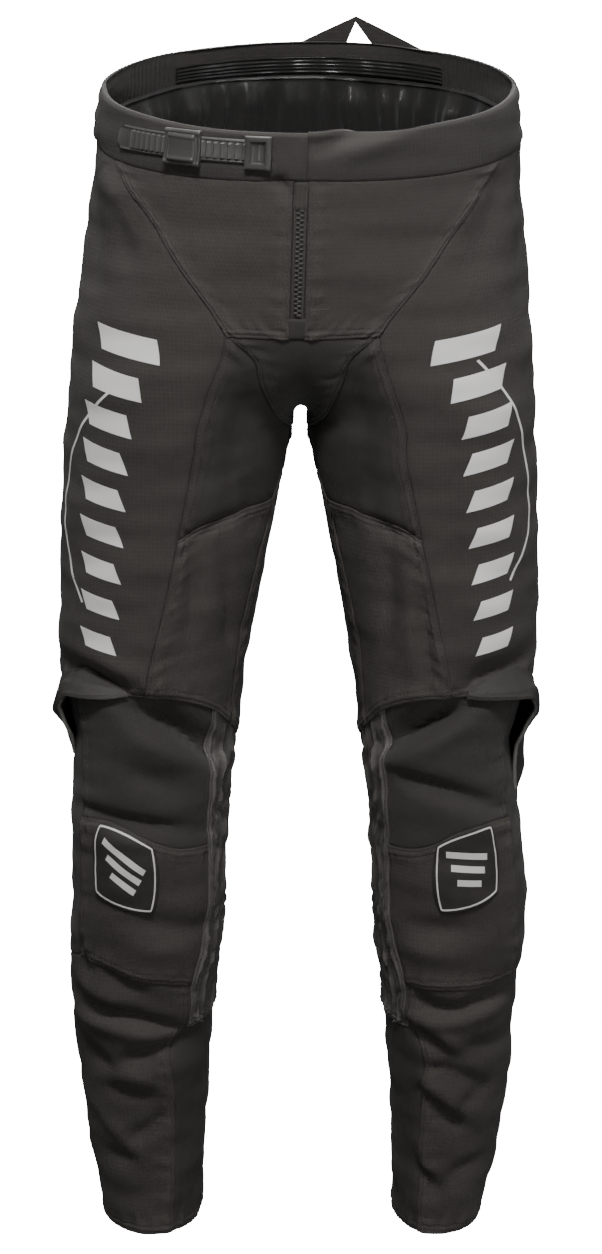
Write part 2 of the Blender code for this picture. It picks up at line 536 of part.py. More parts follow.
def leg_seams(side):
    """Every stretch of seam on one side of the garment, each cut once for both its panels."""
    knee_hem = (
        SIDE_KNEE, (-0.492, 0), KNEE_OUTER, (-0.490, -62), KNEE_CORNER, (-0.492, -108),
        GUARD_FRONT, INSEAM_KNEE, (-0.545, -180), GUARD_BACK, (-0.508, -270), (-0.494, -320),
    )
    hem_path = seam(knee_hem, 600)
    hem_turns = hem_path[:, 1]

    def hem(start, end, cells):
        turns = np.linspace(start, end, cells + 1)
        return np.stack((np.interp(-turns, -hem_turns, hem_path[:, 0]), turns), axis=-1)

    on_hem = {
        name: hem(turn, turn, 1)[0]
        for name, turn in (
            ("side", SIDE_KNEE[1]), ("outer", KNEE_OUTER[1]), ("corner", KNEE_CORNER[1]),
            ("guard_front", GUARD_FRONT[1]), ("inseam", INSEAM_KNEE[1]), ("guard_back", GUARD_BACK[1]),
        )
    }
    full = np.array((0.0, 360.0))
    band = band_seam_height
    hip_top = (band(-27.0), -27.0)
    side_top = (band(BAND_BACK_START), BAND_BACK_START)
    tip = (
        GUSSET_TOP_HEIGHT, turn_at_x(side, GUSSET_TOP_HEIGHT, GUSSET_TOP_HALF_WIDTH, 1)
    )
    low_outer = PATCH_LOW_OUTER[side]
    return {
        "hip": seam((hip_top, (-0.088, -45), (-0.137, -65), HIP_CORNER), HIP_CELLS),
        "thigh_upper": seam((HIP_CORNER, (-0.256, -99), THIGH_CORNER), UPPER_THIGH_CELLS),
        "thigh_lower": seam((THIGH_CORNER, (-0.420, -93), on_hem["corner"]), LOWER_THIGH_CELLS),
        "wrinkled": seam(
            (THIGH_CORNER, (-0.342, -109), (-0.339, -120), (-0.334, -136), INSEAM_MIDDLE), GUSSET_CELLS
        ),
        "inseam_upper": seam((GUSSET_LOW, (-0.306, -172), INSEAM_MIDDLE), UPPER_THIGH_CELLS),
        "inseam_lower": seam((INSEAM_MIDDLE, (-0.420, -150), on_hem["inseam"]), LOWER_THIGH_CELLS),
        "gusset_front": seam(
            (HIP_CORNER, (-0.200, -100), (-0.219, -112), (-0.250, -137), GUSSET_LOW), GUSSET_CELLS
        ),
        "gusset_back": seam(
            (GUSSET_LOW + full, (-0.252, 141), (-0.226, 122), tip), GUSSET_CELLS
        ),
        "side_upper": seam((side_top, (-0.160, 46), SIDE_SEAT), HIP_CELLS),
        "side_lower": seam(
            (SIDE_SEAT, (-0.380, 41), on_hem["side"]), UPPER_THIGH_CELLS + LOWER_THIGH_CELLS
        ),
        "seat": seam((SIDE_SEAT, (-0.262, 70), (-0.238, 98), tip), SEAT_CELLS - 1),
        "hem_outer": hem(SIDE_KNEE[1], KNEE_OUTER[1], OUTER_KNEE_CELLS),
        "hem_front": hem(KNEE_OUTER[1], KNEE_CORNER[1], KNEE_FRONT_CELLS),
        "hem_inner": hem(KNEE_CORNER[1], GUARD_FRONT[1], KNEE_INNER_CELLS),
        "hem_guard": hem(GUARD_FRONT[1], INSEAM_KNEE[1], GUARD_FRONT_CELLS),
        "hem_guard_back": hem(INSEAM_KNEE[1], GUARD_BACK[1], GUARD_BACK_CELLS),
        "hem_back": hem(GUARD_BACK[1], SIDE_KNEE[1] - 360, BACK_KNEE_CELLS),
        "knee_outer": join(
            seam((on_hem["outer"], (-0.550, -33), PATCH_TOP_OUTER), KNEE_CELLS),
            seam((PATCH_TOP_OUTER, (-0.670, -36), low_outer), PATCH_CELLS),
        ),
        "guard_edge": join(
            seam((on_hem["guard_front"], (-0.560, -134), PATCH_TOP_INNER), KNEE_CELLS),
            seam((PATCH_TOP_INNER, (-0.690, -139), (-0.748, -127), GUARD_LOW_FRONT), PATCH_CELLS),
        ),
        "guard_back": seam(
            (on_hem["guard_back"], (-0.660, -221), GUARD_LOW_BACK), KNEE_CELLS + PATCH_CELLS
        ),
        "side_knee": seam((on_hem["side"], (-0.630, 38), SIDE_CALF), KNEE_CELLS + PATCH_CELLS),
        "patch_top": seam(
            (PATCH_TOP_OUTER, (-0.600, -60), (-0.611, -90), (-0.620, -108), PATCH_TOP_INNER),
            KNEE_FRONT_CELLS + KNEE_INNER_CELLS,
        ),
        "patch_low": seam(
            (low_outer,) + PATCH_LOW[side] + (GUARD_LOW_FRONT,), KNEE_FRONT_CELLS + KNEE_INNER_CELLS
        ),
        "outer_low": seam((SIDE_CALF, low_outer), OUTER_KNEE_CELLS),
        "guard_low": seam((GUARD_LOW_FRONT, GUARD_LOW_BACK), GUARD_FRONT_CELLS + GUARD_BACK_CELLS),
        "back_low": seam((GUARD_LOW_BACK, SIDE_CALF - full), BACK_KNEE_CELLS),
        "side_shin": seam((SIDE_CALF, (HEM_HEIGHT, HEM_TURNS["side"])), SHIN_CELLS),
        "shin": seam((GUARD_LOW_FRONT, (-0.860, -120), (HEM_HEIGHT, HEM_TURNS["shin"])), SHIN_CELLS),
        "calf": seam((GUARD_LOW_BACK, (HEM_HEIGHT, HEM_TURNS["calf"])), SHIN_CELLS),
    }


def bottom_hem(start, end, cells):
    """Open bottom edge of a leg."""
    return level_seam(lambda turns: np.full_like(turns, HEM_HEIGHT), start, end, cells)


def build_leg(side):
    """Panels of one leg and of that side's hip and seat."""
    cut = leg_seams(side)
    prefix = SIDE_NAMES[side] + "_"
    full = np.array((0.0, 360.0))
    band = band_seam_height
    yoke_middle = (YOKE_HEIGHT, -float(ring_shape(side, YOKE_HEIGHT)[3]))
    zip_top = band(turn_at_x(side, band(-90.0), ZIP_EDGES[side], -1))
    zip_turn = turn_at_x(side, YOKE_HEIGHT, ZIP_EDGES[side], -1)
    yoke_share = (zip_turn - HIP_CORNER[1]) / (yoke_middle[1] - HIP_CORNER[1])
    zip_low = HIP_CORNER[0] + yoke_share * (YOKE_HEIGHT - HIP_CORNER[0])
    zip_edge = middle_seam(side, zip_top, zip_low, HIP_CELLS, -1, ZIP_EDGES[side])
    front_top = level_seam(band, -27.0, zip_edge[0, 1], FRONT_CELLS)
    yoke = seam((HIP_CORNER, zip_edge[-1]), FRONT_CELLS)
    back_top = band(ring_shape(side, band(90.0))[3])
    back_middle = middle_seam(side, back_top, GUSSET_TOP_HEIGHT, HIP_CELLS, 1)
    add_panel(prefix + "front_panel", side, fill_patch(front_top, yoke, cut["hip"], zip_edge),
              "woven cloth")
    thigh_top = level_seam(band, BAND_BACK_START, -27.0, SIDE_BACK_CELLS + SIDE_FRONT_CELLS)
    thigh = fill_patch(
        thigh_top, join(cut["hem_outer"], cut["hem_front"]),
        join(cut["side_upper"], cut["side_lower"]),
        join(cut["hip"], cut["thigh_upper"], cut["thigh_lower"]),
    )
    add_panel(prefix + "thigh_front", side, thigh, "woven cloth")
    add_panel(
        prefix + "inner_thigh_upper", side,
        fill_patch(cut["gusset_front"], cut["wrinkled"], cut["thigh_upper"], cut["inseam_upper"]),
        "smooth cloth",
    )
    add_panel(
        prefix + "inner_thigh_lower", side,
        fill_patch(cut["wrinkled"], join(cut["hem_inner"], cut["hem_guard"]),
                   cut["thigh_lower"], cut["inseam_lower"]),
        "woven cloth",
    )
    seat_top = level_seam(band, BAND_BACK_START, back_middle[0, 1], SEAT_CELLS)
    seat_bottom = np.concatenate((cut["seat"], back_middle[-1:]))
    add_panel(prefix + "seat", side,
              fill_patch(seat_top, seat_bottom, cut["side_upper"], back_middle), "stretch cloth")
    thigh_back_top = join(cut["seat"], cut["gusset_back"][::-1])
    back_bottom = join(cut["hem_guard_back"], cut["hem_back"])[::-1] + full
    inseam = join(cut["inseam_upper"], cut["inseam_lower"]) + full
    add_panel(prefix + "back_thigh", side,
              fill_patch(thigh_back_top, back_bottom, cut["side_lower"], inseam), "woven cloth")
    knee_rows = KNEE_CELLS + 1
    add_panel(
        prefix + "knee_upper", side,
        fill_patch(join(cut["hem_front"], cut["hem_inner"]), cut["patch_top"],
                   cut["knee_outer"][:knee_rows], cut["guard_edge"][:knee_rows]),
        "stretch cloth", thickness=STRETCH_CLOTH, under_hem=True,
    )
    add_panel(
        prefix + "knee_patch", side,
        fill_patch(cut["patch_top"], cut["patch_low"],
                   cut["knee_outer"][KNEE_CELLS:], cut["guard_edge"][KNEE_CELLS:]),
        "woven cloth", thickness=LEATHER,
    )
    add_panel(
        prefix + "inner_guard", side,
        fill_patch(join(cut["hem_guard"], cut["hem_guard_back"]), cut["guard_low"],
                   cut["guard_edge"], cut["guard_back"]),
        "leather", thickness=LEATHER, under_hem=True,
    )
    add_panel(
        prefix + "knee_side", side,
        fill_patch(cut["hem_outer"], cut["outer_low"], cut["side_knee"], cut["knee_outer"]),
        "stretch cloth", thickness=STRETCH_CLOTH, under_hem=True,
    )
    add_panel(
        prefix + "back_knee", side,
        fill_patch(cut["hem_back"], cut["back_low"], cut["guard_back"], cut["side_knee"] - full),
        "stretch cloth", thickness=STRETCH_CLOTH, under_hem=True,
    )
    shin_top = join(cut["outer_low"], cut["patch_low"])
    shin_bottom = bottom_hem(HEM_TURNS["side"], HEM_TURNS["shin"], len(shin_top) - 1)
    add_panel(prefix + "shin", side,
              fill_patch(shin_top, shin_bottom, cut["side_shin"], cut["shin"]), "woven cloth")
    inner_bottom = bottom_hem(HEM_TURNS["shin"], HEM_TURNS["calf"], len(cut["guard_low"]) - 1)
    add_panel(prefix + "shin_inner", side,
              fill_patch(cut["guard_low"], inner_bottom, cut["shin"], cut["calf"]), "smooth cloth")
    calf_bottom = bottom_hem(HEM_TURNS["calf"], HEM_TURNS["side"] - 360, BACK_KNEE_CELLS)
    add_panel(prefix + "calf", side,
              fill_patch(cut["back_low"], calf_bottom, cut["calf"], cut["side_shin"] - full),
              "woven cloth")


def build_gusset():
    """Diamond under the crotch, from the yoke seam at the front to its tip at the back."""
    quarter = np.sin(np.linspace(0.0, math.pi / 2, GUSSET_CELLS + 1))
    front = YOKE_HEIGHT + (CROTCH_HEIGHT - YOKE_HEIGHT) * quarter
    back = GUSSET_TOP_HEIGHT + (CROTCH_HEIGHT - GUSSET_TOP_HEIGHT) * quarter
    heights = np.concatenate((front, back[-2::-1]))
    patches = {}
    for side in (RIGHT, LEFT):
        cut = leg_seams(side)
        edge = np.concatenate((cut["gusset_front"], cut["gusset_back"][1:]))
        ends = ring_shape(side, heights)[3]
        signs = np.where(np.arange(len(heights)) <= GUSSET_CELLS, -1.0, 1.0)
        middle = np.stack((heights, signs * ends), axis=-1)
        share = np.linspace(0.0, 1.0, GUSSET_HALF_CELLS + 1)[None, :, None]
        patches[side] = (1 - share) * edge[:, None] + share * middle[:, None]
    add_both_sides("crotch_gusset", patches, "stretch cloth", CLOTH)


def waist_strip(side, turns, top, bottom, rows=BAND_CELLS, meets_middle=0):
    """Strip between two level seams, which may end on the middle of the front (-1) or back (1)."""
    down = np.linspace(0.0, 1.0, rows + 1)[:, None]
    along = (turns - turns[0]) / (turns[-1] - turns[0])
    placed = np.broadcast_to(turns, (rows + 1, len(turns)))
    for _ in range(4):
        heights = (1 - down) * top(placed) + down * bottom(placed)
        if meets_middle:
            ends = meets_middle * ring_shape(side, heights[:, -1:])[3]
            placed = turns[0] + along * (ends - turns[0])
    return np.stack((heights, placed), axis=-1)


def build_waist():
    """Waistband, its elastic sides and what shows inside of its back."""
    front_turns = np.linspace(BAND_FRONT_END, -90.0, FRONT_CELLS + SIDE_FRONT_CELLS + 1)
    elastic_turns = np.linspace(BAND_FRONT_END, BAND_BACK_START, 2 * ELASTIC_RIBS + 1)
    back_turns = np.linspace(BAND_BACK_START, 90.0, SEAT_CELLS + 1)
    lining_turns = np.linspace(LINING_TURN, 90.0, 9)
    bands, grippers, linings = {}, {}, {}
    for side in (RIGHT, LEFT):
        prefix = SIDE_NAMES[side] + "_"
        front = waist_strip(side, front_turns, waist_height, band_seam_height, meets_middle=-1)
        add_panel(prefix + "waistband_front", side, front, "smooth cloth",
                  thickness=WAISTBAND_WALL)
        elastic = waist_strip(side, elastic_turns, waist_height, band_seam_height)
        add_panel(prefix + "side_elastic", side, elastic, "rib elastic",
                  thickness=WAISTBAND_WALL, ribs=ELASTIC_RIBS)
        bands[side] = waist_strip(
            side, back_turns, waist_height, band_seam_height, meets_middle=1
        )
        grippers[side] = waist_strip(
            side, back_turns, lambda turn: waist_height(turn) - GRIPPER_TOP,
            lambda turn: waist_height(turn) - GRIPPER_BOTTOM, rows=1, meets_middle=1,
        )
        linings[side] = waist_strip(
            side, lining_turns, lambda turn: waist_height(turn) - LINING_TOP,
            lambda turn: np.full_like(turn, LINING_BOTTOM_HEIGHT), rows=4, meets_middle=1,
        )
    add_both_sides("waistband_back", bands, "smooth cloth", WAISTBAND_WALL)
    add_both_sides("waist_gripper", grippers, "gripper rubber", GRIPPER_WALL,
                   off=-WAISTBAND_WALL - SEAM_GAP)
    add_both_sides("back_lining", linings, "satin lining", LINING_WALL,
                   off=-WAISTBAND_WALL - LINING_CLEARANCE)


def build_fly():
    """Zip tape between the front panels, and the stitched stop on its lower end."""
    for name, top, edges, off, wall, finish in FLY_PIECES:
        patches = {}
        for side in (RIGHT, LEFT):
            edge = middle_seam(side, top, FLY_BOTTOM, FLY_ROWS, -1, edges[side])
            middle = middle_seam(side, top, FLY_BOTTOM, FLY_ROWS, -1)
            share = np.array((0.0, 0.5, 1.0))[None, :, None]
            patches[side] = (1 - share) * edge[:, None] + share * middle[:, None]
        add_both_sides(name, patches, finish, wall, off=off)


def build_ratchet():
    """Toothed strap with its sewn base, buckle, lever and keeper."""
    for name, start, end, half_height, cells, clearance, wall, finish in RATCHET_PIECES:
        turns = np.linspace(start, end, cells + 1)
        offsets = np.array((half_height, -half_height))[:, None]
        heights = STRAP_HEIGHT + STRAP_SLOPE * turns + offsets
        patch = np.stack((heights, np.broadcast_to(turns, heights.shape)), axis=-1)
        add_panel(name, RIGHT, patch, finish, thickness=wall, off=clearance + wall)


def build_hanging_loop():
    """Folded tape that stands up behind the back of the waistband."""
    outer_edge, inner_edge = (straight_runs(edge) for edge in LOOP_EDGES)
    share = np.array((0.0, 0.5, 1.0))[:, None, None]
    flat = (1 - share) * outer_edge[None] + share * inner_edge[None]
    x, z = flat[..., 0], flat[..., 1]
    back = ring_value(z, "back")
    half = ring_value(z, "outer_left")
    y = back * np.sqrt(1.0 - (x / half) ** 2)
    outward = unit(np.stack((x / half**2, y / back**2, np.zeros_like(x)), axis=-1))
    points = np.stack((x, y, z), axis=-1)
    inner = points + LOOP_CLEARANCE * outward
    add_wall("hanging_loop", inner + LOOP_WALL * outward, inner, "tape")


def straight_runs(points):
    """Evenly spaced points along straight runs between the given ones."""
    points = np.array(points)
    steps = np.arange(len(points) - 1)[:, None] + np.arange(LOOP_STEPS)[None] / LOOP_STEPS
    places = np.append(steps.ravel(), len(points) - 1)
    index = np.arange(len(points))
    return np.stack([np.interp(places, index, points[:, axis]) for axis in (0, 1)], axis=-1)


def build_hood(side):
    """Stiff band at the outer knee, from its root on the thigh to its open mouth."""
    rows = np.array(HOOD)
    places = np.linspace(0.0, len(rows) - 1.0, HOOD_STEPS * (len(rows) - 1) + 1)
    index = np.arange(len(rows))
    values = {
        name: np.interp(places, index, rows[:, column]) for column, name in enumerate(HOOD_COLUMNS)
    }
    for part in ("mouth", "crest"):
        beyond_end = values[part + "_off"] - HOOD_END_OFF
        values[part + "_off"] = HOOD_END_OFF + beyond_end * HOOD_SPREAD[side]
    values["root_off"] = np.full(len(places), HOOD_ROOT_OFF)
    curves, directions = [], []
    for part in ("mouth", "crest", "root"):
        z, turn = values[part + "_z"], values[part + "_turn"]
        z = np.where(z < HOOD_HINGE, HOOD_HINGE + (z - HOOD_HINGE) * HOOD_STRETCH[side], z)
        direction = cloth_normal(side, z, turn)
        off = values[part + "_off"] + HOOD_WALL
        curves.append(cloth_point(side, z, turn) + off[:, None] * direction)
        directions.append(direction)
    outer, walls = np.stack(curves), np.stack(directions)
    normals = unit(np.cross(np.gradient(outer, axis=1), np.gradient(outer, axis=0)))
    normals = normals * np.sign(np.sum(normals * walls, axis=-1, keepdims=True))
    walls[:2, 1:-1] = normals[:2, 1:-1]
    add_wall(SIDE_NAMES[side] + "_knee_hood", outer, outer - HOOD_WALL * walls, "leather")


def build_badge(side):
    """Rounded patch on the knee: a square grid with its corners drawn in, then slanted."""
    z_middle, turn_middle = BADGE_CENTRE[side]
    steps = np.linspace(-1.0, 1.0, BADGE_CELLS + 1)
    across, up = np.meshgrid(steps, -steps)
    draw_in = 1.0 - BADGE_CORNER_ROUNDING * across**2 * up**2
    x = BADGE_HALF_WIDTH * across * draw_in
    z = BADGE_HALF_HEIGHT * up * draw_in + BADGE_SLANT * x
    turn = turn_middle + x / LEG_DEGREE
    patch = np.stack((z_middle + z, turn), axis=-1)
    add_panel(SIDE_NAMES[side] + "_knee_badge", side, patch, "badge rubber",
              thickness=BADGE_WALL, off=BADGE_WALL + SEAM_GAP)


def main():
    for piece in list(bpy.data.objects):
        bpy.data.objects.remove(piece, do_unlink=True)
    collection = bpy.data.collections.new("off_road_trousers")
    bpy.context.scene.collection.children.link(collection)
    for side in (RIGHT, LEFT):
        build_leg(side)
        build_hood(side)
        build_badge(side)
    build_gusset()
    build_waist()
    build_fly()
    build_ratchet()
    build_hanging_loop()


main()
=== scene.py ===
"""Off-road riding trousers, filled out as they are worn, with no wearer.

Metres, +Z up, -Y is the front, +X is the wearer's left. A place on the cloth is a height z and
a turn round the leg in degrees: 0 is the outer side, -90 the front, 90 the back and 180 the
inner side. On the hips a turn ends where the cloth meets the middle of the garment.
"""
import math

import bpy
import numpy as np
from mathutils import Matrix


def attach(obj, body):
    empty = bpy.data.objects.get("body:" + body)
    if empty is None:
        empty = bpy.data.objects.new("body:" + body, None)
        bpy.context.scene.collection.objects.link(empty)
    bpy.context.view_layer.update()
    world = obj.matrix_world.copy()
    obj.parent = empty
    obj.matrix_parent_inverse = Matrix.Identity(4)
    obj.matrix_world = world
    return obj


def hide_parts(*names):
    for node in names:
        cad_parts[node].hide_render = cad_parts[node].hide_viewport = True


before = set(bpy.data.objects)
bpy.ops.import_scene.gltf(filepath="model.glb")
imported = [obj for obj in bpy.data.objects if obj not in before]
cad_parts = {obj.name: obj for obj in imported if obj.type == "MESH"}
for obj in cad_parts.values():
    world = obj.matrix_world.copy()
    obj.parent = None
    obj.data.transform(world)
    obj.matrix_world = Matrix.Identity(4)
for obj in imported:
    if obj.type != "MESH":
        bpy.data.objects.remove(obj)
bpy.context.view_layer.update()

# Studio: a plain pale floor below the open hems and a pale backdrop of the same colour, with
# soft panels of light in front, above, behind and on both sides, and a camera three metres away.
PHOTO_HEIGHT_PIXELS = 1254
FOCAL_PIXELS = 3730
SENSOR_WIDTH = 36.0
CAMERA_PLACE = (-0.006, -3.0, 0.473)
CAMERA_AIM_HEIGHT = -0.457
FLOOR_HEIGHT, FLOOR_REACH = -1.25, 20
FLOOR_COLOUR, FLOOR_ROUGHNESS = (0.93, 0.93, 0.925), 0.9
FLOOR_GLOW, AMBIENT_GLOW, BACKDROP_GLOW = 30.0, 0.07, 30.0
# Place, turn about X, Y and Z in degrees, width, height and power of each light
LIGHTS = (
    ("front_light", (-0.12, -1.9, 2.2), (36, 0, -4), 0.9, 0.45, 89),
    ("low_light", (0.3, -2.7, -0.6), (91, 0, 6), 1.0, 0.6, 8),
    ("left_fill_light", (1.6, -2.2, 0.2), (86, 0, 36), 0.8, 1.4, 11),
    ("left_light", (2.4, 0.4, 0.5), (82, 0, 100), 0.6, 2.0, 8),
    ("right_light", (-2.4, 0.9, 0.5), (82, 0, -111), 0.6, 2.0, 8),
    ("top_light", (0.0, 0.3, 2.2), (-4, 0, 0), 1.0, 0.6, 44),
    ("back_light", (0.0, 2.8, 1.0), (-72, 0, 0), 2.4, 1.4, 60),
)

camera_data = bpy.data.cameras.new("camera")
camera_data.sensor_width = SENSOR_WIDTH
camera_data.lens = FOCAL_PIXELS * SENSOR_WIDTH / PHOTO_HEIGHT_PIXELS
camera = bpy.data.objects.new("camera", camera_data)
bpy.context.scene.collection.objects.link(camera)
camera.location = CAMERA_PLACE
camera_drop = math.atan2(CAMERA_PLACE[2] - CAMERA_AIM_HEIGHT, -CAMERA_PLACE[1])
camera.rotation_euler = (math.pi / 2 - camera_drop, 0.0, 0.0)
bpy.context.scene.camera = camera

for name, place, turns, width, height, power in LIGHTS:
    light_data = bpy.data.lights.new(name, "AREA")
    light_data.shape = "RECTANGLE"
    light_data.size, light_data.size_y, light_data.energy = width, height, power
    light = bpy.data.objects.new(name, light_data)
    bpy.context.scene.collection.objects.link(light)
    light.location = place
    light.rotation_euler = [math.radians(turn) for turn in turns]

world = bpy.data.worlds.new("studio")
world.use_nodes = True
world_tree = world.node_tree
backdrop = world_tree.nodes["Background"]
backdrop.inputs["Color"].default_value = (1.0, 1.0, 1.0, 1.0)
glow = world_tree.nodes.new("ShaderNodeMapRange")
glow.inputs["To Min"].default_value = AMBIENT_GLOW
glow.inputs["To Max"].default_value = BACKDROP_GLOW
light_path = world_tree.nodes.new("ShaderNodeLightPath")
world_tree.links.new(light_path.outputs["Is Camera Ray"], glow.inputs[0])
world_tree.links.new(glow.outputs[0], backdrop.inputs["Strength"])
bpy.context.scene.world = world

floor_mesh = bpy.data.meshes.new("floor")
floor_corners = [
    (x * FLOOR_REACH, y * FLOOR_REACH, FLOOR_HEIGHT) for x, y in ((-1, -1), (1, -1), (1, 1), (-1, 1))
]
floor_mesh.from_pydata(floor_corners, [], [(0, 1, 2, 3)])
floor = bpy.data.objects.new("floor", floor_mesh)
bpy.context.scene.collection.objects.link(floor)
floor_material = bpy.data.materials.new("pale floor")
floor_material.use_nodes = True
floor_shader = floor_material.node_tree.nodes["Principled BSDF"]
floor_shader.inputs["Base Color"].default_value = (*FLOOR_COLOUR, 1.0)
floor_shader.inputs["Roughness"].default_value = FLOOR_ROUGHNESS
floor_shader.inputs["Emission Color"].default_value = (*FLOOR_COLOUR, 1.0)
floor_shader.inputs["Emission Strength"].default_value = FLOOR_GLOW
floor_mesh.materials.append(floor_material)
floor.visible_diffuse = False
floor.visible_glossy = False


# Thigh fronts: the largest panels, of ripstop cloth, from the waistband down to the hem over
# the knee. They wrap from the front seam round the outer side to the seam at the back.
RIGHT, LEFT = -1, 1
SIDE_NAMES = {RIGHT: "right", LEFT: "left"}
LEG_DEGREE = 0.0015
CROTCH_ROUNDING = 0.008
CELL = 0.0042
# Steps of the grid beside a seam, so that its fold and its rows of stitching have form
SEAM_STEPS = (
    0.0, 0.0006, 0.0013, 0.0021, 0.0029, 0.0037, 0.0048, 0.0062, 0.0072, 0.0082, 0.0098, 0.0125
)
WAIST_TILT = 0.019
BAND_HEIGHT_FRONT, BAND_HEIGHT_SIDE = 0.037, 0.043
# Turns of the side seam and the hip seam at the waistband
SIDE_TURN, HIP_TURN = 48.0, -27.0
HIP_CORNER = (-0.180, -85)
HEM_HEIGHT = -1.000
# Turns of the shin's three seams at the hem: outer side, inner side in front and behind
HEM_SIDE_TURN, HEM_FRONT_TURN, HEM_BACK_TURN = 40.0, -118.0, -205.0
TUCK_UNDER_HEM = 0.008
CLOTH = 0.0013
HALF_GAP = 0.00012

# The cloth's rings, from the hem to the waist. Outer and inner are the distances of a leg's two
# sides from the middle of the garment, and lean moves the whole ring to the side.
RING_COLUMNS = (
    "z", "lean", "outer_right", "outer_left", "inner", "front", "back", "middle", "squareness"
)
RINGS = np.array((
    (-1.000, -0.010, 0.170, 0.162, 0.0865, -0.042, 0.068, 0.014, 0.00),
    (-0.950, -0.009, 0.180, 0.173, 0.0830, -0.046, 0.070, 0.013, 0.01),
    (-0.900, -0.008, 0.187, 0.180, 0.0810, -0.052, 0.071, 0.010, 0.01),
    (-0.840, -0.008, 0.193, 0.186, 0.0770, -0.064, 0.070, 0.004, 0.01),
    (-0.780, -0.008, 0.197, 0.188, 0.0730, -0.076, 0.066, -0.004, 0.02),
    (-0.720, -0.008, 0.196, 0.195, 0.0660, -0.088, 0.060, -0.012, 0.03),
    (-0.660, -0.008, 0.193, 0.193, 0.0630, -0.096, 0.055, -0.016, 0.03),
    (-0.600, -0.008, 0.193, 0.186, 0.0600, -0.098, 0.055, -0.018, 0.02),
    (-0.540, -0.008, 0.189, 0.180, 0.0520, -0.097, 0.060, -0.016, 0.02),
    (-0.480, -0.008, 0.200, 0.198, 0.0445, -0.098, 0.070, -0.012, 0.02),
    (-0.400, -0.007, 0.200, 0.199, 0.0305, -0.102, 0.086, -0.008, 0.02),
    (-0.320, -0.007, 0.197, 0.197, 0.0165, -0.107, 0.103, -0.004, 0.02),
    (-0.280, -0.007, 0.194, 0.195, 0.0105, -0.110, 0.113, 0.000, 0.02),
    (-0.262, -0.006, 0.193, 0.194, CROTCH_ROUNDING, -0.112, 0.118, 0.000, 0.02),
    (-0.250, -0.006, 0.192, 0.193, 0.0000, -0.113, 0.122, 0.000, 0.02),
    (-0.225, -0.006, 0.190, 0.191, -0.0260, -0.116, 0.128, 0.000, 0.02),
    (-0.190, -0.005, 0.187, 0.188, -0.0780, -0.118, 0.134, 0.000, 0.02),
    (-0.120, -0.003, 0.179, 0.181, -0.1500, -0.121, 0.134, 0.000, 0.01),
    (-0.050, -0.001, 0.172, 0.173, -0.1720, -0.120, 0.126, 0.000, 0.00),
    (0.000, 0.000, 0.167, 0.168, -0.1670, -0.118, 0.118, 0.000, 0.00),
    (0.060, 0.001, 0.163, 0.164, -0.1630, -0.116, 0.112, 0.000, 0.00),
))

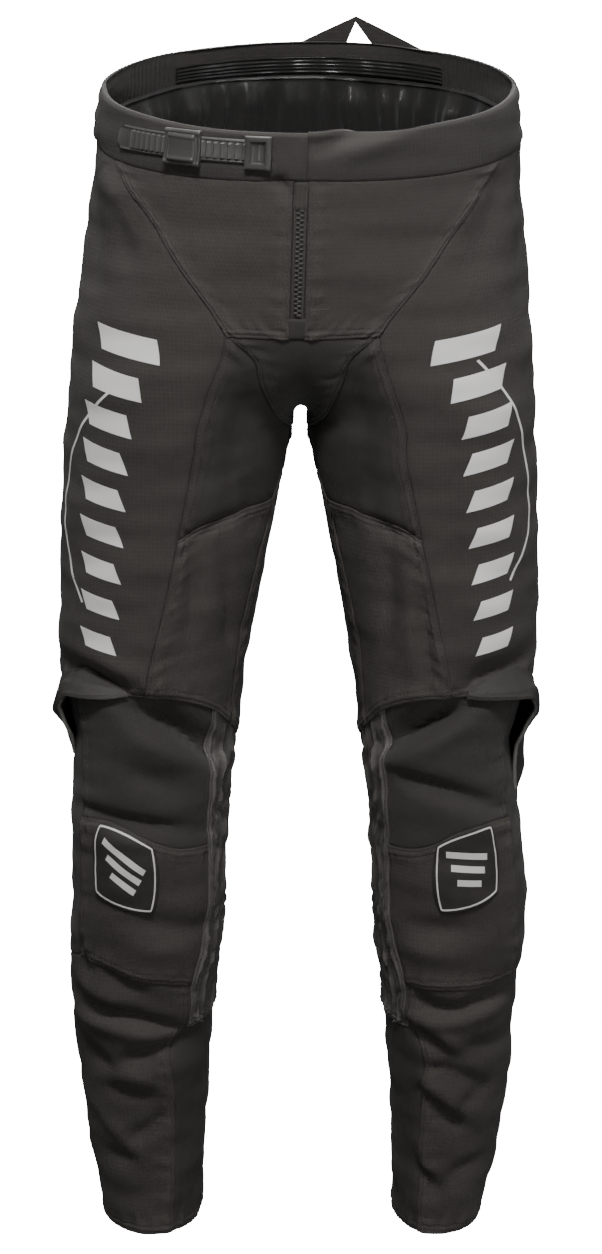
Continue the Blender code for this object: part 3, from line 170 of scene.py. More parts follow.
# Creases that stay in the cloth when it is filled out. Side is RIGHT, LEFT or 0 for both. Each
# bends from a start past a middle to an end, as heights and turns. Rise is how far the cloth
# stands out there, or sinks in where it is negative. Above and below are how far it reaches.
# Columns: side, height and turn of the start, middle and end, rise, above, below
CREASES = (
    # Hips
    (RIGHT, -0.056, -20, -0.085, -33, -0.118, -42, 0.0068, 0.008, 0.010),
    (RIGHT, -0.076, -30, -0.104, -37, -0.140, -44, -0.0059, 0.008, 0.008),
    (RIGHT, -0.066, -6, -0.110, -18, -0.165, -26, -0.0051, 0.012, 0.012),
    (LEFT, -0.060, -22, -0.095, -36, -0.135, -44, -0.0043, 0.009, 0.010),
    (LEFT, -0.064, -4, -0.120, -14, -0.180, -20, -0.0048, 0.012, 0.014),
    (0, -0.205, -100, -0.240, -118, -0.262, -138, -0.0059, 0.009, 0.011),
    # Inner thighs and the inner side below the crotch
    (0, -0.222, -112, -0.300, -122, -0.380, -116, -0.0044, 0.014, 0.014),
    (0, -0.300, -128, -0.330, -138, -0.360, -146, -0.0054, 0.009, 0.012),
    (0, -0.352, -98, -0.346, -112, -0.334, -132, -0.0051, 0.006, 0.006),
    # Diagonal fold over each hood
    (RIGHT, -0.474, -20, -0.476, -56, -0.488, -80, -0.0125, 0.009, 0.005),
    (RIGHT, -0.456, -40, -0.461, -66, -0.475, -84, 0.0040, 0.008, 0.008),
    (LEFT, -0.464, -22, -0.470, -60, -0.485, -80, -0.0120, 0.009, 0.005),
    # Soft upright folds of the inner thighs
    (RIGHT, -0.369, -101, -0.394, -102, -0.425, -103, 0.0036, 0.008, 0.008),
    (RIGHT, -0.359, -106, -0.404, -108, -0.447, -110, -0.0060, 0.006, 0.006),
    (RIGHT, -0.359, -123, -0.409, -132, -0.461, -143, -0.0060, 0.007, 0.007),
    (LEFT, -0.365, -104, -0.425, -107, -0.482, -107, 0.0034, 0.008, 0.008),
    (LEFT, -0.386, -98, -0.438, -100, -0.481, -99, -0.0058, 0.006, 0.006),
    (LEFT, -0.402, -92, -0.446, -93, -0.482, -92, 0.0030, 0.007, 0.007),
    (LEFT, -0.357, -114, -0.406, -119, -0.459, -126, -0.0055, 0.008, 0.008),
    # Right knee, under the hem and over the pad
    (RIGHT, -0.499, -76, -0.519, -106, -0.547, -138, -0.0250, 0.013, 0.006),
    (RIGHT, -0.516, -66, -0.532, -94, -0.558, -126, 0.0050, 0.006, 0.012),
    (RIGHT, -0.552, -70, -0.562, -92, -0.574, -116, -0.0060, 0.010, 0.010),
    (RIGHT, -0.593, -30, -0.596, -76, -0.609, -132, -0.0105, 0.005, 0.010),
    (RIGHT, -0.613, -49, -0.614, -83, -0.619, -114, 0.0034, 0.009, 0.010),
    (RIGHT, -0.688, -86, -0.693, -108, -0.701, -141, -0.0055, 0.009, 0.011),
    (RIGHT, -0.708, -74, -0.716, -101, -0.721, -133, 0.0036, 0.009, 0.010),
    (RIGHT, -0.706, -36, -0.732, -42, -0.759, -52, -0.0040, 0.006, 0.006),
    # Right shin, a pile of creases below the pad, then two shallow V shapes
    (RIGHT, -0.737, -59, -0.749, -78, -0.763, -100, -0.0060, 0.006, 0.009),
    (RIGHT, -0.753, -36, -0.763, -59, -0.771, -78, 0.0048, 0.008, 0.007),
    (RIGHT, -0.769, -32, -0.781, -83, -0.802, -134, -0.0110, 0.005, 0.010),
    (RIGHT, -0.789, -25, -0.794, -75, -0.803, -114, 0.0062, 0.008, 0.008),
    (RIGHT, -0.807, -26, -0.820, -46, -0.836, -66, -0.0082, 0.006, 0.010),
    (RIGHT, -0.836, -66, -0.816, -96, -0.812, -140, -0.0082, 0.006, 0.010),
    (RIGHT, -0.843, -56, -0.840, -81, -0.851, -104, 0.0052, 0.008, 0.008),
    (RIGHT, -0.856, -50, -0.857, -76, -0.866, -106, -0.0068, 0.006, 0.009),
    (RIGHT, -0.882, -44, -0.900, -66, -0.918, -84, 0.0050, 0.008, 0.009),
    (RIGHT, -0.911, -72, -0.895, -92, -0.881, -114, -0.0066, 0.007, 0.010),
    (RIGHT, -0.920, -40, -0.925, -66, -0.928, -85, -0.0050, 0.007, 0.009),
    (RIGHT, -0.970, -10, -0.961, -72, -0.955, -108, -0.0030, 0.009, 0.010),
    # Left knee
    (LEFT, -0.541, -140, -0.519, -106, -0.499, -76, -0.0260, 0.013, 0.006),
    (LEFT, -0.554, -138, -0.532, -104, -0.514, -72, 0.0052, 0.006, 0.012),
    (LEFT, -0.558, -128, -0.566, -92, -0.589, -45, -0.0115, 0.005, 0.010),
    (LEFT, -0.572, -125, -0.582, -93, -0.597, -60, 0.0036, 0.009, 0.010),
    (LEFT, -0.691, -130, -0.695, -104, -0.691, -79, -0.0045, 0.009, 0.011),
    (LEFT, -0.713, -126, -0.719, -99, -0.716, -64, 0.0034, 0.009, 0.010),
    # Left shin, one deep fold round the pad, then V shapes
    (LEFT, -0.758, -124, -0.773, -95, -0.763, -60, -0.0100, 0.006, 0.010),
    (LEFT, -0.767, -76, -0.762, -50, -0.760, -12, -0.0080, 0.006, 0.010),
    (LEFT, -0.782, -130, -0.786, -94, -0.768, -24, 0.0062, 0.009, 0.007),
    (LEFT, -0.793, -134, -0.803, -110, -0.821, -87, -0.0092, 0.006, 0.009),
    (LEFT, -0.790, -116, -0.803, -98, -0.822, -78, 0.0044, 0.007, 0.008),
    (LEFT, -0.821, -90, -0.813, -62, -0.816, -6, -0.0048, 0.009, 0.011),
    (LEFT, -0.834, -114, -0.837, -88, -0.855, -57, -0.0066, 0.006, 0.010),
    (LEFT, -0.844, -121, -0.862, -98, -0.886, -75, 0.0050, 0.008, 0.009),
    (LEFT, -0.860, -120, -0.879, -94, -0.902, -65, -0.0078, 0.006, 0.010),
    (LEFT, -0.877, -84, -0.864, -69, -0.855, -50, -0.0054, 0.007, 0.010),
    (LEFT, -0.915, -124, -0.934, -107, -0.953, -90, 0.0042, 0.008, 0.009),
    (LEFT, -0.932, -126, -0.946, -108, -0.960, -89, -0.0050, 0.007, 0.009),
    (LEFT, -0.945, -91, -0.934, -69, -0.928, -36, -0.0054, 0.008, 0.010),
    # Waistband
    (LEFT, -0.034, -90, -0.021, -78, -0.008, -64, -0.0060, 0.005, 0.006),
    (LEFT, -0.038, -82, -0.028, -72, -0.017, -58, 0.0034, 0.006, 0.007),
    # Edge of the fly's flap, from the keeper down to the zip
    (RIGHT, -0.052, -80.5, -0.058, -82.5, -0.070, -85, -0.0050, 0.0024, 0.0024),
    # Seat, back of the thigh, back of the knee and calf
    (0, -0.228, 64, -0.262, 100, -0.296, 134, -0.0088, 0.013, 0.018),
    (0, -0.262, 60, -0.300, 92, -0.334, 122, 0.0071, 0.014, 0.018),
    (0, -0.190, 60, -0.222, 84, -0.236, 104, -0.0041, 0.012, 0.016),
    (0, -0.440, 64, -0.452, 98, -0.446, 132, 0.0044, 0.014, 0.014),
    (0, -0.468, 56, -0.486, 98, -0.480, 142, -0.0078, 0.010, 0.014),
    (0, -0.546, 56, -0.560, 92, -0.552, 130, -0.0105, 0.010, 0.013),
    (0, -0.572, 56, -0.588, 92, -0.580, 130, 0.0068, 0.011, 0.013),
    (0, -0.600, 56, -0.618, 92, -0.608, 130, -0.0105, 0.010, 0.014),
    (0, -0.640, 56, -0.632, 92, -0.642, 128, 0.0051, 0.010, 0.012),
    (0, -0.662, 62, -0.656, 92, -0.648, 126, -0.0068, 0.012, 0.014),
    (0, -0.700, 48, -0.722, 80, -0.730, 118, 0.0037, 0.014, 0.016),
    (0, -0.786, 14, -0.806, 56, -0.812, 100, -0.0065, 0.012, 0.014),
    (0, -0.820, 20, -0.842, 62, -0.850, 108, 0.0048, 0.012, 0.014),
    (0, -0.866, 48, -0.888, 92, -0.896, 142, -0.0061, 0.012, 0.014),
    (0, -0.920, 44, -0.934, 84, -0.930, 132, -0.0037, 0.012, 0.014),
)
CREASE_PIECES = 10
CREST_ROUNDING, CREST_POWER = 0.0016, 1.5
# A crease fades towards its ends as a sine to this power, and stops at these shares of it
END_FADE_POWER, END_FADE_SHARES = 0.6, (0.04, 0.96)
NEWTON_ROUNDS = 6


def smooth_column(knots, values, places):
    """Cubic curve through the values, with each knot's slope from its neighbours."""
    slopes = np.gradient(values, knots) if len(knots) > 1 else np.zeros(1)
    low = np.clip(np.searchsorted(knots, places) - 1, 0, len(knots) - 2)
    span = knots[low + 1] - knots[low]
    share = np.clip((places - knots[low]) / span, 0.0, 1.0)
    rise = share * share * (3.0 - 2.0 * share)
    start_bend = share * (1.0 - share) ** 2 * span * slopes[low]
    end_bend = share * share * (share - 1.0) * span * slopes[low + 1]
    return values[low] + rise * (values[low + 1] - values[low]) + start_bend + end_bend


def ring_value(z, name):
    """A column of the ring table at any height."""
    return smooth_column(RINGS[:, 0], RINGS[:, RING_COLUMNS.index(name)], z)


def ring_shape(side, z):
    """Middle, half width and squareness of one leg's ring, and the turn where it meets the
    middle of the garment. The turn solves half * (cos - k cos 3) / (1 - k) = rounding - middle."""
    outer = ring_value(z, "outer_left" if side == LEFT else "outer_right")
    inner = ring_value(z, "inner")
    squareness = ring_value(z, "squareness")
    middle, half = (outer + inner) / 2, (outer - inner) / 2
    share = np.minimum((middle - CROTCH_ROUNDING) / half, 1.0)
    cosine = -share
    for _ in range(NEWTON_ROUNDS):
        miss = cosine * (1 + 3 * squareness) - 4 * squareness * cosine**3 + share * (1 - squareness)
        cosine = cosine - miss / (1 + 3 * squareness - 12 * squareness * cosine**2)
    end_turn = np.degrees(np.arccos(np.clip(cosine, -1.0, 1.0)))
    return middle, half, squareness, end_turn


def ring_reach(shape, angle):
    """Distance from the garment's middle: middle + half * (cos - k cos 3) / (1 - k)."""
    middle, half, squareness, _ = shape
    return middle + half * (np.cos(angle) - squareness * np.cos(3 * angle)) / (1 - squareness)


def crease_rise(side, z, turn):
    """Sum of the creases. Each follows a curve through its three places, with a crest that
    falls off quickly on both sides, as exp(-(distance / reach) ** 1.5), and towards its ends."""
    total = np.zeros_like(z)
    share = np.linspace(0.0, 1.0, CREASE_PIECES + 1)
    weights = np.stack((
        (1 - share) * (1 - 2 * share), 4 * share * (1 - share), share * (2 * share - 1)
    ))
    for crease_side, z0, turn0, z1, turn1, z2, turn2, rise, above, below in CREASES:
        if crease_side not in (0, side):
            continue
        near = (z > min(z0, z1, z2) - 3 * below) & (z < max(z0, z1, z2) + 3 * above)
        if not near.any():
            continue
        path_z = weights.T @ np.array((z0, z1, z2))
        path_turn = weights.T @ np.array((turn0, turn1, turn2))
        steps_across, steps_up = np.diff(path_turn) * LEG_DEGREE, np.diff(path_z)
        best = np.full(near.sum(), np.inf)
        strength = np.zeros(near.sum())
        for piece in range(CREASE_PIECES):
            along = np.array((steps_across[piece], steps_up[piece]))
            across = ((turn[near] - path_turn[piece] + 180.0) % 360.0 - 180.0) * LEG_DEGREE
            up = z[near] - path_z[piece]
            part = np.clip((across * along[0] + up * along[1]) / along.dot(along), 0.0, 1.0)
            off_across, off_up = across - part * along[0], up - part * along[1]
            distance = np.hypot(np.hypot(off_across, off_up), CREST_ROUNDING) - CREST_ROUNDING
            reach = np.where(off_up > 0, above, below)
            place = (piece + part) / CREASE_PIECES
            fade = np.sin(math.pi * np.clip(place, *END_FADE_SHARES)) ** END_FADE_POWER
            height = fade * np.exp(-((distance / reach) ** CREST_POWER))
            closer = distance < best
            best = np.where(closer, distance, best)
            strength = np.where(closer, height, strength)
        total[near] += rise * strength
    return total


# Slow waves all over the cloth: waves up the leg, waves round it, their phase and rise
SLOW_WAVES = (
    (19, 2, 0.4, 0.00045), (31, -3, 2.1, 0.00035), (11, 5, 4.0, 0.00050), (47, 4, 1.2, 0.00020)
)
# Distances from the garment's middle at which waves, and the shift of a crease to the side,
# reach their full size, so that the two halves meet in one line
WAVES_FULL_AT, SHIFT_FULL_AT = 0.05, 0.03


def cloth_point(side, z, turn, creased=True):
    """Point of the cloth: x = middle + half * (cos - k cos 3) / (1 - k), drawn smoothly to the
    garment's middle at the crotch, and y = depth * (sin + k sin 3) / (1 - k)."""
    z, turn = np.broadcast_arrays(np.asarray(z, float), np.asarray(turn, float))
    shape, angle = ring_shape(side, z), np.radians(turn)
    squareness = shape[2]
    swing = (np.sin(angle) + squareness * np.sin(3 * angle)) / (1 - squareness)
    depth_middle = ring_value(z, "middle")
    front_depth = depth_middle - ring_value(z, "front")
    back_depth = ring_value(z, "back") - depth_middle
    off_middle = np.sqrt(np.maximum(ring_reach(shape, angle) ** 2 - CROTCH_ROUNDING**2, 0.0))
    rise = np.zeros_like(z)
    if creased:
        rise = crease_rise(side, z, turn)
        for up, around, phase, height in SLOW_WAVES:
            wave = np.sin(up * z * math.tau + around * angle + phase + side)
            rise = rise + height * wave * np.clip(off_middle / WAVES_FULL_AT, 0.0, 1.0)
    x_share = np.clip(off_middle / SHIFT_FULL_AT, 0.0, 1.0)
    x = side * (off_middle + rise * np.cos(angle) * x_share) + ring_value(z, "lean")
    y = depth_middle + np.where(swing < 0, front_depth, back_depth) * swing + rise * np.sin(angle)
    return np.stack((x, y, z), axis=-1)


def waist_height(turn):
    """Top edge of the waistband, lower at the front than at the back."""
    return WAIST_TILT * np.sin(np.radians(turn))


def band_seam_height(turn):
    """Seam below the waistband."""
    height = BAND_HEIGHT_FRONT + (BAND_HEIGHT_SIDE - BAND_HEIGHT_FRONT) * np.cos(np.radians(turn))
    return waist_height(turn) - height


def seam(*stretches):
    """A cut line through rows of height and turn. It bends smoothly within a stretch, and has a
    corner where two meet. Returns a function from shares of its length to rows."""
    parts = []
    for points in stretches:
        points = np.array(points, float)
        steps = np.diff(points * (1.0, LEG_DEGREE), axis=0)
        knots = np.concatenate(((0.0,), np.cumsum(np.hypot(steps[:, 0], steps[:, 1]))))
        parts.append((points, knots))
    starts = np.concatenate(((0.0,), np.cumsum([knots[-1] for _, knots in parts])))

    def at(share):
        place = np.asarray(share) * starts[-1]
        rows = np.zeros((len(place), 2))
        for (points, knots), start in zip(parts, starts):
            here = place >= start - 1e-9
            for column in (0, 1):
                rows[here, column] = smooth_column(knots, points[:, column], place[here] - start)
        return rows
    return at


def level_seam(height_of_turn, start, end):
    """A seam whose height depends on the turn alone."""
    def at(share):
        turns = start + (end - start) * np.asarray(share)
        return np.stack((height_of_turn(turns), turns), axis=-1)
    return at


def backwards(line, turns=0.0):
    """The same line from its end to its start, with its turns moved by whole circles."""
    return lambda share: line(1.0 - np.asarray(share)) + (0.0, turns)


def moved(line, turns):
    """The same line with its turns moved by whole circles."""
    return lambda share: line(share) + (0.0, turns)


def turn_at_x(side, z, distance, sign):
    """Turn of the cloth at a distance from the middle, on the front (-1) or back (1)."""
    turns = np.linspace(179.0, 40.0, 280)
    reach_out = ring_reach(ring_shape(side, np.full_like(turns, z)), np.radians(turns))
    return sign * float(np.interp(math.hypot(distance, CROTCH_ROUNDING), reach_out, turns))


def middle_seam(side, z_start, z_end, sign, distance=0.0):
    """Seam down the middle of the front (-1) or back (1), or a little way beside it."""
    def at(share):
        heights = z_start + (z_end - z_start) * np.asarray(share)
        if distance > 0:
            turns = np.array([turn_at_x(side, z, distance, sign) for z in heights])
        else:
            turns = sign * ring_shape(side, heights)[3]
        return np.stack((heights, turns), axis=-1)
    return at


GUSSET_TOP_HEIGHT, GUSSET_TOP_HALF_WIDTH = -0.205, 0.006


def cut_lines(side):
    """Every cut line of one side of the garment, by name. The lines of the hem over the knee
    all lie on one curve round the leg."""
    low_outer = {RIGHT: (-0.730, -36), LEFT: (-0.748, -32)}[side]
    patch_low = {
        RIGHT: ((-0.733, -60), (-0.744, -88), (-0.749, -110)),
        LEFT: ((-0.752, -60), (-0.753, -96)),
    }[side]
    hem_path = seam((
        (-0.494, 40), (-0.492, 0), (-0.491, -36), (-0.490, -62), (-0.489, -87), (-0.492, -108),
        (-0.504, -131), (-0.524, -152), (-0.545, -180), (-0.530, -215), (-0.508, -270), (-0.494, -320),
    ))(np.linspace(0.0, 1.0, 601))

    def knee_hem(start, end, tuck=0.0):
        def height(turns):
            return np.interp(-turns, -hem_path[:, 1], hem_path[:, 0]) + tuck
        return level_seam(height, start, end)

    def knee_tuck(start, end):
        return knee_hem(start, end, TUCK_UNDER_HEM)

    def on_hem(turn):
        return tuple(knee_hem(turn, turn)(np.array((0.0,)))[0])

    def under_hem(turn):
        return tuple(knee_tuck(turn, turn)(np.array((0.0,)))[0])

    thigh_corner, gusset_low = (-0.352, -97), (-0.285, -180)
    inseam_middle, side_seat, side_calf = (-0.332, -160), (-0.262, 44), (-0.762, 38)
    guard_low_front, guard_low_back = (-0.797, -130), (-0.797, -212)
    patch_corner = (-0.754, -128)
    top_outer, top_inner = (-0.602, -36), (-0.625, -139)
    gusset_top = (GUSSET_TOP_HEIGHT, turn_at_x(side, GUSSET_TOP_HEIGHT, GUSSET_TOP_HALF_WIDTH, 1))
    hip_top = (float(band_seam_height(HIP_TURN)), HIP_TURN)
    side_top = (float(band_seam_height(SIDE_TURN)), SIDE_TURN)
    hip = (hip_top, (-0.088, -45), (-0.137, -65), HIP_CORNER)
    thigh_upper = (HIP_CORNER, (-0.256, -99), thigh_corner)
    thigh_lower = (thigh_corner, (-0.420, -93), on_hem(-87))
    side_upper = (side_top, (-0.160, 46), side_seat)
    side_lower = (side_seat, (-0.380, 41), on_hem(40))
    seat = (side_seat, (-0.262, 70), (-0.238, 98), gusset_top)
    seat_tip = (gusset_top, (GUSSET_TOP_HEIGHT, float(ring_shape(side, GUSSET_TOP_HEIGHT)[3])))
    inseam_upper = (gusset_low, (-0.306, -172), inseam_middle)
    inseam_lower = (inseam_middle, (-0.420, -150), on_hem(-152))
    gusset_back = ((-0.285, 180), (-0.252, 141), (-0.226, 122), gusset_top)
    outer_upper = (under_hem(-36), (-0.550, -33), top_outer)
    outer_lower = (top_outer, (-0.670, -36), low_outer)
    guard_upper = (under_hem(-131), (-0.560, -134), top_inner)
    guard_patch = (top_inner, (-0.690, -139), patch_corner)
    guard_shin = (patch_corner, (-0.775, -130), guard_low_front)
    shin_inner = (
        guard_low_front, (-0.805, -121), (-0.822, -115), (-0.860, -118), (HEM_HEIGHT, HEM_FRONT_TURN)
    )
    wrinkled = (thigh_corner, (-0.342, -109), (-0.339, -120), (-0.334, -136), inseam_middle)
    gusset_front = (HIP_CORNER, (-0.200, -100), (-0.219, -112), (-0.250, -137), gusset_low)
    outer_low = (side_calf, low_outer)
    patch_bottom = (low_outer,) + patch_low + (patch_corner,)
    return {
        "hip": seam(hip),
        "side": seam(side_upper, side_lower),
        "side_upper": seam(side_upper),
        "side_lower": seam(side_lower),
        "thigh_upper": seam(thigh_upper),
        "thigh_lower": seam(thigh_lower),
        "thigh_front": seam(hip, thigh_upper, thigh_lower),
        "wrinkled": seam(wrinkled),
        "inseam_upper": seam(inseam_upper),
        "inseam_lower": seam(inseam_lower),
        "inseam": seam(inseam_upper, inseam_lower),
        "gusset_front": seam(gusset_front),
        "gusset_back": seam(gusset_back),
        "seat": seam(seat, seat_tip),
        "seat_and_gusset": seam(seat, gusset_back[::-1]),
        "hem_thigh": knee_hem(40, -87),
        "hem_inner_thigh": knee_hem(-87, -152),
        "hem_back_thigh": backwards(knee_hem(-152, -320), 360.0),
        "tuck_outer": knee_tuck(40, -36),
        "tuck_knee": knee_tuck(-36, -131),
        "tuck_guard": knee_tuck(-131, -215),
        "tuck_back_knee": knee_tuck(-215, -320),
        "outer_upper": seam(outer_upper),
        "outer_lower": seam(outer_lower),
        "outer": seam(outer_upper, outer_lower),
        "outer_low": seam(outer_low),
        "guard_upper": seam(guard_upper),
        "guard_patch": seam(guard_patch),
        "guard": seam(guard_upper, guard_patch, guard_shin),
        "guard_back": seam((under_hem(-215), (-0.660, -221), guard_low_back)),
        "guard_low": seam((guard_low_front, guard_low_back)),
        "side_knee": seam((under_hem(40), (-0.630, 38), side_calf)),
        "patch_top": seam((top_outer, (-0.600, -60), (-0.611, -90), (-0.620, -108), top_inner)),
        "patch_low": seam(patch_bottom),
        "shin_top": seam(outer_low, patch_bottom),
        "back_low": seam((guard_low_back, (-0.762, -322))),
        "side_shin": seam((side_calf, (HEM_HEIGHT, HEM_SIDE_TURN))),
        "shin": seam(shin_inner),
        "shin_and_guard": seam(guard_shin, shin_inner),
        "calf": seam((guard_low_back, (HEM_HEIGHT, HEM_BACK_TURN))),
    }


CUT = {side: cut_lines(side) for side in (RIGHT, LEFT)}


def unit(vectors):
    """Vectors of length one."""
    return vectors / np.maximum(np.linalg.norm(vectors, axis=-1, keepdims=True), 1e-12)


# A panel shorter than this many times the seams' steps gets the steps drawn together
SEAM_STEPS_FIT = 2.6


def seam_spacing(length, cell=CELL):
    """Shares of a length: fine steps beside both seams, and even cells between them."""
    steps = np.array(SEAM_STEPS) * min(1.0, length / (SEAM_STEPS_FIT * SEAM_STEPS[-1]))
    inner = length - 2 * steps[-1]
    count = max(2, round(inner / cell))
    between = steps[-1] + inner * np.arange(1, count) / count
    return np.concatenate((steps, between, length - steps[::-1])) / length


def fill_lines(top, bottom, start, end, across, down):
    """Fills four cut lines with a grid of heights and turns: the sum of the two straight
    blends between opposite lines, less the blend of the four corners."""
    top_row, bottom_row = top(across)[None], bottom(across)[None]
    start_row, end_row = start(down)[:, None], end(down)[:, None]
    across, down = across[None, :, None], down[:, None, None]
    corners = (
        (1 - down) * ((1 - across) * top_row[:, :1] + across * top_row[:, -1:])
        + down * ((1 - across) * bottom_row[:, :1] + across * bottom_row[:, -1:])
    )
    between_rows = (1 - down) * top_row + down * bottom_row
    return between_rows + (1 - across) * start_row + across * end_row - corners


def lengths_along(points, axis):
    """Length of the surface from its first row or column to each point."""
    steps = np.linalg.norm(np.diff(points, axis=axis), axis=-1)
    start = np.zeros_like(steps.take([0], axis))
    return np.concatenate((start, np.cumsum(steps, axis=axis)), axis=axis)


def grid_normals(points, outward):
    """Normals of a grid, turned to the side that outward points to."""
    normals = unit(np.cross(np.gradient(points, axis=1), np.gradient(points, axis=0)))
    return normals * np.sign(np.median(np.sum(normals * outward, axis=-1)))


def fill_mesh(name, points, loops, loop_starts):
    """A mesh of the given points. Loops are the faces' corners, one face after the other."""
    mesh = bpy.data.meshes.new(name)
    mesh.vertices.add(len(points))
    mesh.vertices.foreach_set("co", points.astype(np.float32).ravel())
    mesh.loops.add(len(loops))
    mesh.loops.foreach_set("vertex_index", loops.astype(np.int32))
    mesh.polygons.add(len(loop_starts))
    mesh.polygons.foreach_set("loop_start", loop_starts.astype(np.int32))
    mesh.update(calc_edges=True)
    return mesh


def smooth_mesh(mesh, sharp_degrees):
    """Smooth shading, with a hard edge where two faces meet at more than the given angle."""
    mesh.validate()
    mesh.shade_smooth()
    mesh.set_sharp_from_angle(angle=math.radians(sharp_degrees))
    return mesh


# Rise at which a surface is fully marked, as rubbed cloth or as a painted highlight on moulded
# tips, and the angle of a wall's hard edges in degrees
RUB_AND_HIGHLIGHT_RISE, WALL_SHARP = 0.0030, 50


def wall_mesh(name, outer, inner, grain, rise):
    """A closed wall between two grids of points. Grain is a grid of places in metres, which
    becomes the UV map that the weave follows. Rise becomes the rub mark, most where the surface
    stands proud: rubbed wear on cloth, and a painted highlight on the tips of moulded teeth."""
    rows, columns = outer.shape[:2]
    count = rows * columns
    points = np.concatenate((outer.reshape(-1, 3), inner.reshape(-1, 3)))
    place = np.arange(count).reshape(rows, columns)
    face = np.stack((place[:-1, :-1], place[:-1, 1:], place[1:, 1:], place[1:, :-1]), axis=-1)
    face = face.reshape(-1, 4)
    border = np.concatenate((place[0, :-1], place[:-1, -1], place[-1, :0:-1], place[:0:-1, 0]))
    after = np.roll(border, -1)
    rim = np.stack((border, border + count, after + count, after), axis=-1)
    quads = np.concatenate((face, face[:, ::-1] + count, rim))
    corners = points[face]
    facing = np.cross(corners[:, 1] - corners[:, 0], corners[:, 3] - corners[:, 0])
    if np.sum(facing * (outer - inner).reshape(-1, 3)[face[:, 0]]) < 0:
        quads = quads[:, ::-1]
    mesh = fill_mesh(name, points, quads.ravel(), np.arange(0, quads.size, 4))
    layer = mesh.uv_layers.new(name="grain")
    both = np.concatenate((grain.reshape(-1, 2), grain.reshape(-1, 2)))
    layer.data.foreach_set("uv", both[quads.ravel()].astype(np.float32).ravel())
    # Rub mark from the rise: wear on cloth, and a painted highlight on proud moulded tips
    rub_and_highlight = np.clip(rise.ravel() / RUB_AND_HIGHLIGHT_RISE, 0.0, 1.0)
    attribute = mesh.attributes.new("rub_and_highlight", "FLOAT", "POINT")
    attribute.data.foreach_set("value", np.concatenate((rub_and_highlight, 0.0 * rub_and_highlight)).astype(np.float32))
    return smooth_mesh(mesh, WALL_SHARP)


def add_piece(name, mesh, material, slot, *replaced):
    """Links a mesh as a piece that rides on the garment and stands for CAD nodes."""
    mesh.materials.append(material)
    piece = bpy.data.objects.new(name, mesh)
    bpy.context.scene.collection.objects.link(piece)
    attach(piece, "root")
    if replaced:
        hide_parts(*replaced)
    return piece


# How each kind of edge is made: over is folded and sewn down on top, under lies below its
# neighbour, hem is turned up, with two rows of stitching, and open has no seam on it.
# Columns: rise of the allowance, its width, and the depth of the furrow under a row of stitches
EDGE_KINDS = {
    "over": (0.00120, 0.0104, 0.00080),
    "under": (-0.00030, 0.0040, 0.0),
    "hem": (0.00110, 0.0104, 0.00080),
    "open": (0.0, 0.0040, 0.0),
}
STITCH_ROWS = (0.0025, 0.0077)
FURROW_WIDTH, STEP_SOFTNESS = 0.0009, 0.0009
EDGE_ROUNDING, EDGE_DROP = 0.0011, 0.0007
PUCKER_RISE, PUCKER_REACH = 0.00060, 0.008
# Paces in radians a metre of the puckers, of their drift and of a second, weaker set
PUCKER_PACE, PUCKER_DRIFT, PUCKER_PACE_2, PUCKER_SHARE_2 = 520.0, 61.0, 330.0, 0.6
# How far the puckers of a panel's second, third and fourth edge are shifted along
PUCKER_SHIFT = 0.37


def edge_relief(kind, distance, along):
    """Height of the cloth beside an edge: the raised allowance ends in a soft step, the very
    edge rolls down, each row of stitches lies in a furrow, and the cloth beside it puckers."""
    rise, width, furrow = EDGE_KINDS[kind]
    step = 1.0 / (1.0 + np.exp((distance - width) / STEP_SOFTNESS))
    roll = np.exp(-((distance / EDGE_ROUNDING) ** 2))
    height = rise * step - EDGE_DROP * roll
    if furrow:
        for row in STITCH_ROWS:
            height = height - furrow * np.exp(-(((distance - row) / FURROW_WIDTH) ** 2))
        waves = np.sin(along * PUCKER_PACE + 2.0 * np.sin(along * PUCKER_DRIFT))
        waves = waves + PUCKER_SHARE_2 * np.sin(along * PUCKER_PACE_2 + 1.0)
        height = height + PUCKER_RISE * waves * np.exp(-(((distance - width) / PUCKER_REACH) ** 2))
    return height


def half_surface(side, patch):
    """Points of a patch with and without its creases, and the way out of the leg at each."""
    z, turn = patch[..., 0], patch[..., 1]
    smooth = cloth_point(side, z, turn, creased=False)
    centre = np.stack(np.broadcast_arrays(
        side * ring_shape(side, z)[0] + ring_value(z, "lean"), ring_value(z, "middle"), z
    ), axis=-1)
    return cloth_point(side, z, turn), smooth, smooth - centre


def whole_surface(patches):
    """The same for patches that cross the middle, where the last column of each half lies."""
    halves = zip(half_surface(RIGHT, patches[RIGHT]), half_surface(LEFT, patches[LEFT]))
    return [np.concatenate((right, left[:, -2::-1]), axis=1) for right, left in halves]


# Outer points, normals, distances from the four edges and kinds of edge of each panel, which
# the stitching follows
PANELS = {}


